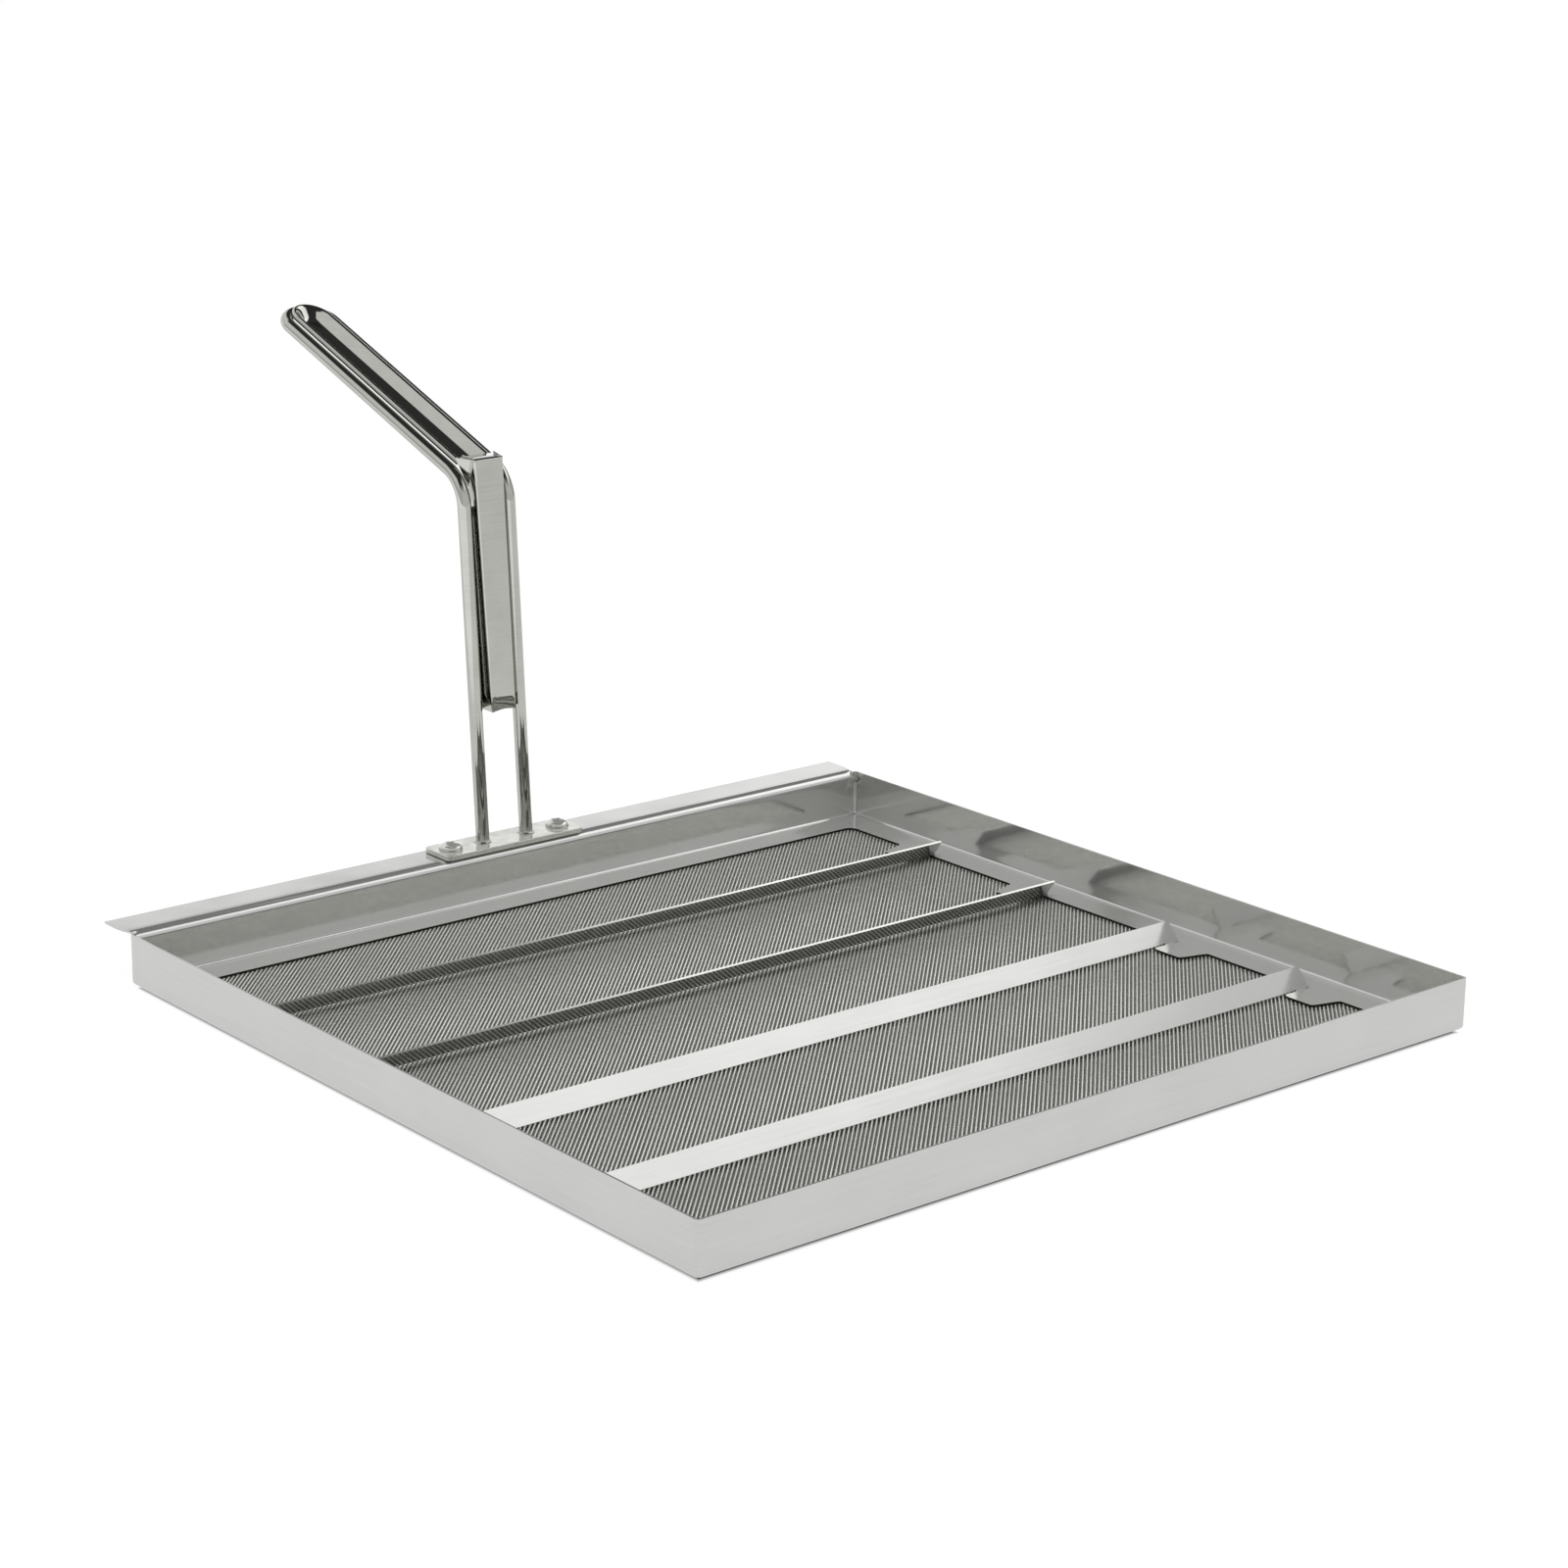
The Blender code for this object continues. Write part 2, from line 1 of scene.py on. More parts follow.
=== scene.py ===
"""Fryer crumb-screen tray: the finished surfaces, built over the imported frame.

Units: sizes are fields in millimetres, meshes are in metres. Tray coordinates have X along
the rear wall, +Y towards the handle and Z from the table; the frame's own nodes say where
the tray's centre is.
"""
import logging
import math
from collections.abc import Callable, Iterable, Sequence
from dataclasses import dataclass, field
from enum import Enum
from functools import partial

import bmesh
import bpy
from bmesh.types import BMesh
from bpy.types import GeometryNodeTree, ID, Material, NodeOutputs, NodeSocket, NodeTree, Object
from mathutils import Matrix, Vector


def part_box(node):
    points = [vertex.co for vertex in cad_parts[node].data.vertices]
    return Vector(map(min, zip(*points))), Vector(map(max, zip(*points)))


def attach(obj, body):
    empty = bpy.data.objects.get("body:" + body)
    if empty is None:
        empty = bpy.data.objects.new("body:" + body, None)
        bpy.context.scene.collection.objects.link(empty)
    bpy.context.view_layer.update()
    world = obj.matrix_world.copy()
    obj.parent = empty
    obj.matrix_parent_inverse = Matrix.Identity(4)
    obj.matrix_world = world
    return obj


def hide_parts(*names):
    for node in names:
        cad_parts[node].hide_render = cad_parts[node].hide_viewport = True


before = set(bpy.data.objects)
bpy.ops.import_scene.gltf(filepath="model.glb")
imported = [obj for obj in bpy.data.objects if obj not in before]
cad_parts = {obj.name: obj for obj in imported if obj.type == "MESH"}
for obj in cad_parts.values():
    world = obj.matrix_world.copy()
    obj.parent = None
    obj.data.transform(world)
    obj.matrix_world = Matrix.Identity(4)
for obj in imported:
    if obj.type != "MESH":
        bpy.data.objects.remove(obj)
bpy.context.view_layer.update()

LOG = logging.getLogger("crumb_screen_tray")
MM = 0.001
MERGE_MM = 0.001
MIDDLE_MM = 20.0
FOLD_LIMIT = math.radians(50.0)
EDGE_STEPS = 2
WHITE = (1.0, 1.0, 1.0, 1.0)
BODY = "root"

Pair = tuple[float, float]
Point = tuple[float, float, float]
Row = list[Point]


class Slot(Enum):
    """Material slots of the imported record."""

    SHEET = "satin_sheet"
    CLOTH = "wire_cloth"
    HANDLE = "polished_handle"
    WELD = "weld"


class Side(Enum):
    """Left and right of the tray, as the sign of X."""

    LEFT = -1
    RIGHT = 1


Made = tuple[Object, tuple[str, ...], Slot]


def linear(code: str) -> tuple[float, float, float, float]:
    """Turn an sRGB hex colour into Blender's linear RGBA.

    Args:
        code: Colour as six hex digits.

    Returns:
        Linear red, green, blue and an alpha of one.
    """
    values = []
    for start in (0, 2, 4):
        part = int(code[start:start + 2], 16) / 255
        values.append(part / 12.92 if part <= 0.04045 else ((part + 0.055) / 1.055) ** 2.4)
    return (*values, 1.0)


def add_node(
    tree: NodeTree, kind: str, inputs: dict[str | int, object] | None = None,
    **settings: object,
) -> NodeOutputs:
    """Add a node to a shader or geometry tree.

    Args:
        tree: Tree that takes the node.
        kind: Blender's type name for the node.
        inputs: A value, or a socket to link from, for each input by name or index.
        settings: Attributes of the node itself.

    Returns:
        The new node's outputs.
    """
    node = tree.nodes.new(kind)
    for key, value in settings.items():
        setattr(node, key, value)
    for key, value in (inputs or {}).items():
        if isinstance(value, NodeSocket):
            tree.links.new(value, node.inputs[key])
        else:
            node.inputs[key].default_value = value
    return node.outputs


def blank_tree(block: ID) -> NodeTree:
    """The emptied shader tree of a material or a world."""
    block.use_nodes = True
    block.node_tree.nodes.clear()
    return block.node_tree


@dataclass(frozen=True)
class SteelFinish:
    """A stainless surface: its colour, its gloss and the marks that its making left."""

    name: str
    colour: str
    shade: str
    roughness: Pair
    cloud_mm: float
    streak_mm: float
    streak_run_mm: float
    wave_mm: float
    wave_height_mm: float
    grain_height_mm: float
    metallic: float = 1.0
    mottle: Pair = (0.12, 0.42)
    heat: str = "A79F90"
    heat_dulls: float = 0.25

    def material(self) -> Material:
        """Build the finish as a procedural material on Object coordinates.

        Returns:
            The material, made once and shared by its pieces.
        """
        made = bpy.data.materials.get(self.name)
        if made:
            return made
        made = bpy.data.materials.new(self.name)
        tree = blank_tree(made)
        node = partial(add_node, tree)
        place = node("ShaderNodeTexCoord")["Object"]
        run, fine = 1 / (self.streak_run_mm * MM), 1 / (self.streak_mm * MM)
        drawn = node("ShaderNodeMapping", {"Vector": place, "Scale": (run, run, fine)})["Vector"]
        noises = []
        for at, scale, detail, rough in (
            (place, 1 / (self.cloud_mm * MM), 3.0, 0.5),
            (drawn, 1.0, 4.0, 0.65),
            (place, 1 / (self.wave_mm * MM), 1.0, 0.5),
        ):
            noises.append(node("ShaderNodeTexNoise", {
                "Vector": at, "Scale": scale, "Detail": detail, "Roughness": rough})["Fac"])
        clouds, streaks, waves = noises
        mottle = node("ShaderNodeMath", {0: clouds, 1: streaks}, operation="MULTIPLY")[0]
        part = {"Value": mottle, "From Min": self.mottle[0], "From Max": self.mottle[1]}
        dark = node("ShaderNodeMapRange", part)["Result"]
        part |= {"To Min": self.roughness[0], "To Max": self.roughness[1]}
        gloss = node("ShaderNodeMapRange", part)["Result"]
        heat = node("ShaderNodeAttribute", attribute_name="heat")["Fac"]
        steel = linear(self.colour)
        for share, tint in ((dark, self.shade), (heat, self.heat)):
            steel = node("ShaderNodeMix", {"Factor": share, 6: steel, 7: linear(tint)}, data_type="RGBA")[2]
        dulled = node(
            "ShaderNodeMath", {0: heat, 1: self.heat_dulls, 2: gloss},
            operation="MULTIPLY_ADD", use_clamp=True)[0]
        relief = {}
        for height, pattern in ((self.wave_height_mm, waves), (self.grain_height_mm, streaks)):
            relief["Normal"] = node("ShaderNodeBump", {
                "Strength": 1.0, "Distance": height * MM, "Height": pattern, **relief})["Normal"]
        shader = node("ShaderNodeBsdfPrincipled", {
            "Base Color": steel, "Metallic": self.metallic, "Roughness": dulled, **relief})["BSDF"]
        node("ShaderNodeOutputMaterial", {"Surface": shader})
        return made


# Cold-rolled 304 sheet, mill finish 2B: a grey satin that still mirrors what lies close to
# it, with faint rolling streaks along the sheet and a slight waviness from folding.
MILL_SHEET = SteelFinish(
    "stainless_304_mill_2b", "C2C2C0", "BDBDBB", (0.10, 0.16),
    cloud_mm=45.0, streak_mm=1.2, streak_run_mm=60.0, wave_mm=55.0, wave_height_mm=0.18,
    grain_height_mm=0.0004, metallic=0.82,
)

# Drawn and woven 304 wire: rougher and less metallic than the sheet.
DRAWN_WIRE = SteelFinish(
    "stainless_drawn_wire", "DEDFD8", "D0D1CA", (0.24, 0.34),
    cloud_mm=18.0, streak_mm=2.0, streak_run_mm=8.0, wave_mm=40.0, wave_height_mm=0.0,
    grain_height_mm=0.0, metallic=0.65,
)

# Buffed 304 rod and pressings: close to a mirror, with fine buffing lines.
BUFFED_STEEL = SteelFinish(
    "stainless_buffed", "B2B3AD", "A9AAA4", (0.03, 0.06),
    cloud_mm=14.0, streak_mm=0.9, streak_run_mm=25.0, wave_mm=16.0, wave_height_mm=0.02,
    grain_height_mm=0.0008,
)

# Cold-headed screws and the sheared plate: bright steel, tumbled and not buffed.
TUMBLED_STEEL = SteelFinish(
    "stainless_tumbled", "CACBC6", "BFC0BB", (0.10, 0.18),
    cloud_mm=6.0, streak_mm=0.9, streak_run_mm=6.0, wave_mm=12.0, wave_height_mm=0.02,
    grain_height_mm=0.0008, metallic=0.75,
)

# Laser-cut edge of the window in the floor, painted dark: painted shade for the shadow line along the lip
# and the tabs.
SHADED_CUT_EDGE = SteelFinish(
    "cut_edge_painted_shade", "35332F", "242220", (0.45, 0.60),
    cloud_mm=6.0, streak_mm=0.5, streak_run_mm=1.0, wave_mm=9.0, wave_height_mm=0.0,
    grain_height_mm=0.01,
)

# Fusion weld left as it was run: rough beads, straw and brown from the heat.
RUN_WELD = SteelFinish(
    "stainless_weld_bead", "C2C0BA", "9A968C", (0.22, 0.40),
    cloud_mm=1.6, streak_mm=0.8, streak_run_mm=1.2, wave_mm=1.4, wave_height_mm=0.12,
    grain_height_mm=0.03,
)


def tray_centre_y() -> float:
    """Where the tray's centre lies along the frame's Y, in metres."""
    low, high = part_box("left_wall")
    return (low[1] + high[1]) / 2


TRAY_Y = tray_centre_y()


def placed(point: Sequence[float]) -> Vector:
    """Turn tray millimetres into the frame's metres."""
    return Vector((point[0] * MM, point[1] * MM + TRAY_Y, point[2] * MM))


def arc(centre: Pair, radius: float, start: float, end: float, steps: int) -> list[Pair]:
    """Points of an arc in a plane.

    Args:
        centre: Centre of the arc.
        radius: Radius of the arc.
        start: First angle in degrees.
        end: Last angle in degrees.
        steps: Number of chords.

    Returns:
        The points, both ends included.
    """
    angles = [math.radians(start + (end - start) * i / steps) for i in range(steps + 1)]
    return [(centre[0] + radius * math.cos(a), centre[1] + radius * math.sin(a)) for a in angles]


def spread(low: float, high: float, step: float) -> list[float]:
    """Evenly spaced values from low to high, no further apart than step."""
    count = max(1, math.ceil((high - low) / step))
    return [low + (high - low) * i / count for i in range(count + 1)]


def shares(count: int) -> list[float]:
    """The ends of a number of equal parts of one, both ends included."""
    return [i / count for i in range(count + 1)]


def add_object(name: str, data: ID) -> Object:
    """Put a new object with its data into the scene."""
    obj = bpy.data.objects.new(name, data)
    bpy.context.scene.collection.objects.link(obj)
    return obj


def baked(obj: Object) -> Object:
    """Replace an object's mesh by what its modifiers make of it.

    Args:
        obj: Object whose modifiers are turned into plain mesh.

    Returns:
        The same object, without modifiers.
    """
    graph = bpy.context.evaluated_depsgraph_get()
    graph.update()
    plain = bpy.data.meshes.new_from_object(obj.evaluated_get(graph))
    obj.modifiers.clear()
    rough = obj.data
    obj.data = plain
    bpy.data.meshes.remove(rough)
    plain.name = obj.name
    return obj


def new_piece(name: str, bm: BMesh, finish: SteelFinish) -> Object:
    """Store a bmesh as a named, smooth-shaded piece of the scene.

    Args:
        name: Name of the piece.
        bm: Mesh of the piece, in tray millimetres; it is freed.
        finish: Finish of its faces.

    Returns:
        The piece.
    """
    for vert in bm.verts:
        vert.co = placed(vert.co)
    for face in bm.faces:
        face.smooth = True
    mesh = bpy.data.meshes.new(name)
    bm.to_mesh(mesh)
    bm.free()
    mesh.materials.append(finish.material())
    return add_object(name, mesh)


def solidify(obj: Object, thickness: float, edge: float, even: bool = True) -> None:
    """Give a sheet its thickness against its normals, and break its sharp edges.

    Args:
        obj: Open sheet, its normals on the face that keeps its place.
        thickness: Thickness in millimetres.
        edge: Width of the broken edge in millimetres.
        even: Whether sharp folds keep the thickness too.
    """
    wall = obj.modifiers.new("thickness", "SOLIDIFY")
    wall.thickness = thickness * MM
    wall.offset = -1.0
    wall.use_even_offset = even
    break_edges(obj, edge)


def break_edges(obj: Object, edge: float) -> None:
    """Round every edge sharper than a fold.

    Args:
        obj: Piece to finish.
        edge: Width of the broken edge in millimetres.
    """
    bevel = obj.modifiers.new("broken_edge", "BEVEL")
    bevel.width = edge * MM
    bevel.segments = EDGE_STEPS
    bevel.limit_method = "ANGLE"
    bevel.angle_limit = FOLD_LIMIT
    bevel.harden_normals = True
    bevel.use_clamp_overlap = True


def skin(bm: BMesh, rows: Sequence[Row], closed: bool = False) -> None:
    """Join rows of points by faces; points that fall together are merged later.

    Args:
        bm: Mesh that takes the faces.
        rows: Rows of equal length.
        closed: Whether each row is a ring.
    """
    verts = [[bm.verts.new(point) for point in row] for row in rows]
    for upper, lower in zip(verts, verts[1:]):
        last = len(upper) if closed else len(upper) - 1
        for i in range(last):
            j = (i + 1) % len(upper)
            bm.faces.new((upper[i], upper[j], lower[j], lower[i]))


def prism(rings: Sequence[Row]) -> BMesh:
    """A closed body between two rings.

    Args:
        rings: The lower and the upper ring.

    Returns:
        The body's mesh.
    """
    bm = bmesh.new()
    skin(bm, rings, closed=True)
    for ring in rings:
        bm.faces.new([bm.verts.new(point) for point in ring])
    clean_up(bm)
    return bm


def ring_to(ring: Row, radius: float, z: float) -> Row:
    """A ring's points moved along their spokes to a radius, at one height."""
    return [(x * radius / math.hypot(x, y), y * radius / math.hypot(x, y), z) for x, y, _ in ring]


def clean_up(bm: BMesh) -> None:
    """Merge doubles and turn the normals one way."""
    bmesh.ops.remove_doubles(bm, verts=bm.verts, dist=MERGE_MM)
    bmesh.ops.dissolve_degenerate(bm, edges=bm.edges, dist=MERGE_MM)
    bmesh.ops.recalc_face_normals(bm, faces=bm.faces)


def weld_up(bm: BMesh, probe: Callable[[Vector], bool], outward: Vector) -> None:
    """Merge doubles and turn every normal to the side that a probed face shows.

    Args:
        bm: Mesh to clean.
        probe: Says whether a face centre is the one to look at.
        outward: Direction that the probed face should have.
    """
    clean_up(bm)
    face = next(f for f in bm.faces if probe(f.calc_center_median()))
    if face.normal.dot(outward) < 0:
        bmesh.ops.reverse_faces(bm, faces=bm.faces)


def near_middle(centre: Vector) -> bool:
    """Whether a face centre lies near the middle of the tray's length."""
    return abs(centre.x) < MIDDLE_MM


def hand_over(obj: Object, nodes: tuple[str, ...], slot: Slot) -> None:
    """Let a piece ride on the body and stand for its nodes.

    Args:
        obj: Finished piece.
        nodes: CAD nodes that it stands for.
        slot: Slot that its finish comes from; not used.
    """
    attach(obj, BODY)
    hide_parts(*nodes)
    triangles = sum(len(face.vertices) - 2 for face in obj.data.polygons)
    LOG.info("%s: %d triangles, stands for %d nodes", obj.name, triangles, len(nodes))


def geometry_tree(name: str, **sockets: Sequence[str]) -> GeometryNodeTree:
    """Start a geometry tree with named inputs.

    Args:
        name: Name of the tree.
        sockets: Names of the inputs of each type, such as Float or Vector.

    Returns:
        The tree, with its geometry sockets in place.
    """
    tree = bpy.data.node_groups.new(name, "GeometryNodeTree")
    tree.interface.new_socket("Geometry", in_out="INPUT", socket_type="NodeSocketGeometry")
    for kind, labels in sockets.items():
        for label in labels:
            tree.interface.new_socket(label, in_out="INPUT", socket_type=f"NodeSocket{kind}")
    tree.interface.new_socket("Geometry", in_out="OUTPUT", socket_type="NodeSocketGeometry")
    return tree


def close_tree(
    tree: GeometryNodeTree, shape: NodeSocket, finish: NodeSocket
) -> None:
    """End a geometry tree in real, dressed geometry.

    Args:
        tree: Tree to end.
        shape: Socket of the shape.
        finish: Socket of its material.
    """
    real = add_node(tree, "GeometryNodeRealizeInstances", {"Geometry": shape})[0]
    dressed = add_node(tree, "GeometryNodeSetMaterial", {"Geometry": real, "Material": finish})[0]
    add_node(tree, "NodeGroupOutput", {"Geometry": dressed})


def grow_by(obj: Object, tree: GeometryNodeTree, values: dict[str, object]) -> None:
    """Let a geometry tree make an object's mesh.

    Args:
        obj: Object that takes the tree.
        tree: Geometry tree.
        values: Value of each input by the socket's name; it is set by the socket's identifier.
    """
    modifier = obj.modifiers.new(tree.name, "NODES")
    modifier.node_group = tree
    for item in tree.interface.items_tree:
        if item.item_type == "SOCKET" and item.in_out == "INPUT" and item.name in values:
            modifier[item.identifier] = values[item.name]


def row_tree() -> GeometryNodeTree:
    """The tree that sets copies of a piece in a straight row.

    Returns:
        The tree, made once.
    """
    tree = bpy.data.node_groups.get("row_of_copies")
    if tree:
        return tree
    tree = geometry_tree("row_of_copies", Int=("Count",), Vector=("First", "Step"), Material=("Finish",))
    node = partial(add_node, tree)
    given = node("NodeGroupInput")
    line = node("GeometryNodeMeshLine", {
        "Count": given["Count"], "Start Location": given["First"], "Offset": given["Step"],
    }, mode="OFFSET")[0]
    copies = node("GeometryNodeInstanceOnPoints", {"Points": line, "Instance": given["Geometry"]})[0]
    close_tree(tree, copies, given["Finish"])
    return tree


@dataclass
class FoldedPan:
    """The pan: four walls, the bottom lip with the rib tabs, and the hanger flange."""

    half_length: float = 225.0
    half_depth: float = 215.0
    bottom: float = 1.8
    rim: float = 26.8
    sheet: float = 1.0
    bend: float = 2.0
    bend_steps: int = 6
    corner: float = 2.2
    corner_steps: int = 6
    wall_rows: tuple[float, ...] = (20.0, 17.0, 14.0, 11.0, 8.0, 5.8)
    lip: float = 19.0
    lip_rows: tuple[float, ...] = (3.5, 6.0, 9.0, 12.5, 16.0)
    window_corner: float = 5.0
    hook: Pair = (2.5, 7.0)
    hook_ease: float = 18.0
    hook_steps: tuple[int, int] = (7, 6)
    flange: float = 23.0
    flange_rows: tuple[float, ...] = (7.0, 12.0, 17.5)
    flare_rate: float = 3.0
    rib_bases: tuple[tuple[float, int], ...] = ((132.5, -1), (46.5, -1), (-46.5, 1), (-132.5, 1))
    tab_reach: float = 15.0
    tab_depth: float = 18.0
    tab_curve: float = 6.0
    tab_start: float = 1.175
    tab_corner: float = 2.5
    tab_steps: tuple[int, int] = (4, 10)
    edge: float = 0.16
    slack: float = 0.1
    cut_slope: float = 0.6
    seam: float = 6.0
    seam_patch: Point = (0.55, 0.45, 0.9)
    straight: float = 186.0
    station: float = 7.0
    crowded: float = 0.05
    end_steps: int = 12
    nodes: tuple[str, ...] = field(default=(
        "front_wall", "rear_wall", "left_wall", "right_wall",
        "front_lip", "rear_lip", "left_lip", "right_lip", "hanger_flange",
        "corner_weld_front_left", "corner_weld_front_right",
        "corner_weld_rear_right", "corner_weld_rear_left",
    ))

    @property
    def hook_z(self) -> float:
        """Height at which the rear wall begins to bend out."""
        ease = math.cos(math.radians(self.hook_ease))
        return self.rim - self.sheet - self.hook[0] * ease - self.hook[1] * (1.0 - ease)

    def build(self) -> Object:
        """Fold the pan from its rings of points.

        Returns:
            The pan with its thickness and its broken edges.
        """
        bm = bmesh.new()
        fold_z = self.bottom + self.bend
        profile = [(0.0, z) for z in (self.hook_z, *self.wall_rows, fold_z)]
        profile += arc((self.bend, fold_z), self.bend, 180.0, 270.0, self.bend_steps)[1:]
        profile += [(inset, self.bottom) for inset in (*self.lip_rows, self.lip)]
        skin(bm, [self.ring(inset, z) for inset, z in profile], closed=True)
        self.raise_rim(bm)
        self.turn_flange(bm)
        for base, lean in self.rib_bases:
            for side in Side:
                self.add_tab(bm, base, lean, side)
        weld_up(bm, self.is_front_wall, Vector((0.0, -1.0, 0.0)))
        pan = new_piece("folded_pan", bm, MILL_SHEET)
        solidify(pan, self.sheet, self.edge)
        baked(pan)
        self.paint_cut_edge_shade(pan)
        self.tint_seams(pan)
        return pan

    def tint_seams(self, pan: Object) -> None:
        """Mark the heat of the ground corner welds, in uneven patches down each corner.

        Args:
            pan: The finished pan.
        """
        heat = pan.data.attributes.new("heat", "FLOAT", "POINT")
        mean, swing, pace = self.seam_patch
        for vert, mark in zip(pan.data.vertices, heat.data):
            off_x = self.half_length - abs(vert.co.x) / MM
            off_y = self.half_depth - abs(vert.co.y - TRAY_Y) / MM
            away = math.hypot(off_x, off_y) / self.seam
            patch = mean + swing * math.sin(vert.co.z / MM * pace + vert.co.x / MM)
            mark.value = max(0.0, 1.0 - away) * patch

    def paint_cut_edge_shade(self, pan: Object) -> None:
        """Give the window's cut edge, round the lip and the tabs, a dark finish: painted shade for the
        shadow line along that edge.

        Args:
            pan: The finished pan.
        """
        pan.data.materials.append(SHADED_CUT_EDGE.material())
        top = (self.bottom + self.sheet + self.slack) * MM
        within_x = (self.half_length - self.lip + self.edge) * MM
        within_y = (self.half_depth - self.lip + self.edge) * MM
        for face in pan.data.polygons:
            inside = abs(face.center.x) < within_x and abs(face.center.y - TRAY_Y) < within_y
            if inside and face.center.z < top and abs(face.normal.z) < self.cut_slope:
                face.material_index = 1

    def is_front_wall(self, centre: Vector) -> bool:
        """Whether a face centre lies in the middle of the front wall."""
        outside = centre.y < self.slack - self.half_depth
        return near_middle(centre) and outside and self.wall_rows[-2] < centre.z < self.wall_rows[0]

    def stations(self, half: float, extra: Iterable[float]) -> list[float]:
        """Places along a side.

        Args:
            half: Half of the side's length.
            extra: Places that the side needs besides the even ones.

        Returns:
            The places from one end to the other.
        """
        middle = sorted({*spread(-self.straight, self.straight, self.station), *extra})
        thinned = middle[:1]
        for place in middle[1:]:
            if place - thinned[-1] > self.crowded:
                thinned.append(place)
        near = [self.straight + (half - self.straight) * t for t in shares(self.end_steps)[1:]]
        return [-s for s in reversed(near)] + thinned + near

    def tab_outline(self, base: float, lean: int) -> list[Pair]:
        """A tab's free edge as (reach, y) points, from its fold back to the lip.

        Args:
            base: Y of the rib's foot.
            lean: Way that the rib's top leans; the tab lies on the other side.

        Returns:
            Reach inwards from the lip and Y of each point.
        """
        fold = base - lean * self.tab_start
        end = base - lean * self.tab_depth
        round_at = (self.tab_reach - self.tab_corner, self.tab_corner)
        turn = arc(round_at, self.tab_corner, -90.0, 0.0, self.tab_steps[0])
        points = [(reach, fold - lean * run) for reach, run in turn]
        for share in shares(self.tab_steps[1]):
            swing = (1 + math.cos(math.pi * share)) / 2
            points.append((self.tab_reach * swing, end - lean * self.tab_curve * share))
        return points

    def ring(self, inset: float, z: float) -> Row:
        """A round-cornered ring of points, counter-clockwise from the front left corner.

        Args:
            inset: Distance in from the walls' outer faces.
            z: Height of the ring.

        Returns:
            The ring's points.
        """
        blend = max(0.0, (inset - self.bend) / (self.lip - self.bend))
        radius = self.corner + (self.window_corner - self.corner) * blend
        half_x = self.half_length - inset
        half_y = self.half_depth - inset
        tabs = [y for base, lean in self.rib_bases for _, y in self.tab_outline(base, lean)]
        along_x = self.stations(half_x - radius, ())
        along_y = self.stations(half_y - radius, tabs)
        points = []
        for side, sx, sy, start in (
            ([(x, -half_y) for x in along_x], 1, -1, -90.0),
            ([(half_x, y) for y in along_y], 1, 1, 0.0),
            ([(-x, half_y) for x in along_x], -1, 1, 90.0),
            ([(-half_x, -y) for y in along_y], -1, -1, 180.0),
        ):
            centre = (sx * (half_x - radius), sy * (half_y - radius))
            points += side + arc(centre, radius, start, start + 90.0, self.corner_steps)[1:-1]
        return [(x, y, z) for x, y in points]

    def raise_rim(self, bm: BMesh) -> None:
        """Carry the front and side walls up to the rim, round to the flange's ends.

        Args:
            bm: Mesh of the pan.
        """
        ring = self.ring(0.0, self.hook_z)
        rear = [i for i, point in enumerate(ring) if point[1] > self.half_depth - MERGE_MM]
        rows = []
        for z in (self.rim, (self.rim + self.hook_z) / 2, self.hook_z):
            row = [(x, y, z) for x, y, _ in ring]
            rows.append(row[rear[-1]:] + row[:rear[0] + 1])
        skin(bm, rows)

    def turn_flange(self, bm: BMesh) -> None:
        """Bend the rear wall outwards into the hanger flange.

        Args:
            bm: Mesh of the pan.
        """
        widest = self.half_length - self.corner
        along = self.stations(widest, ())
        tight, wide = self.hook
        ease = 90.0 + self.hook_ease
        outs = arc((tight, self.hook_z), tight, 180.0, ease, self.hook_steps[0])
        eased_at = arc((tight, self.hook_z), tight - wide, ease, ease, 1)[0]
        outs += arc(eased_at, wide, ease, 90.0, self.hook_steps[1])[1:]
        outs += [(out, self.rim - self.sheet) for out in (*self.flange_rows, self.flange)]
        rows = []
        for out, z in outs:
            past = min(1.0, max(0.0, out - tight) / (self.flange - tight) * self.flare_rate)
            flare = 1.0 + self.corner / widest * past
            rows.append([(x * flare, self.half_depth + out, z) for x in along])
        skin(bm, rows)
        for end in (0, -1):
            self.close_end(bm, [row[end] for row in rows[:self.hook_steps[0] + 1]])

    def close_end(self, bm: BMesh, hook: Row) -> None:
        """Weld an end of the hook to the side wall's rim, so that no slit stays open.

        Args:
            bm: Mesh of the pan.
            hook: The hook's end, from the wall to its highest part.
        """
        x, y, low = hook[0]
        top = bm.verts.new((x, y, self.rim))
        middle = bm.verts.new((x, y, (low + self.rim) / 2))
        verts = [bm.verts.new(point) for point in hook]
        bm.faces.new((top, middle, verts[1]))
        bm.faces.new((middle, verts[0], verts[1]))
        for a, b in zip(verts[1:], verts[2:]):
            bm.faces.new((top, a, b))

    def add_tab(self, bm: BMesh, base: float, lean: int, side: Side) -> None:
        """Lay one rib tab against the lip's edge.

        Args:
            bm: Mesh that takes the tab.
            base: Y of the rib's foot.
            lean: Way that the rib's top leans.
            side: Side of the tray.
        """
        lip_edge = self.half_length - self.lip
        outline = self.tab_outline(base, lean)
        inner = [(side.value * (lip_edge - reach), y, self.bottom) for reach, y in outline]
        outer = [(side.value * lip_edge, y, self.bottom) for _, y in outline]
        skin(bm, [outer, inner])


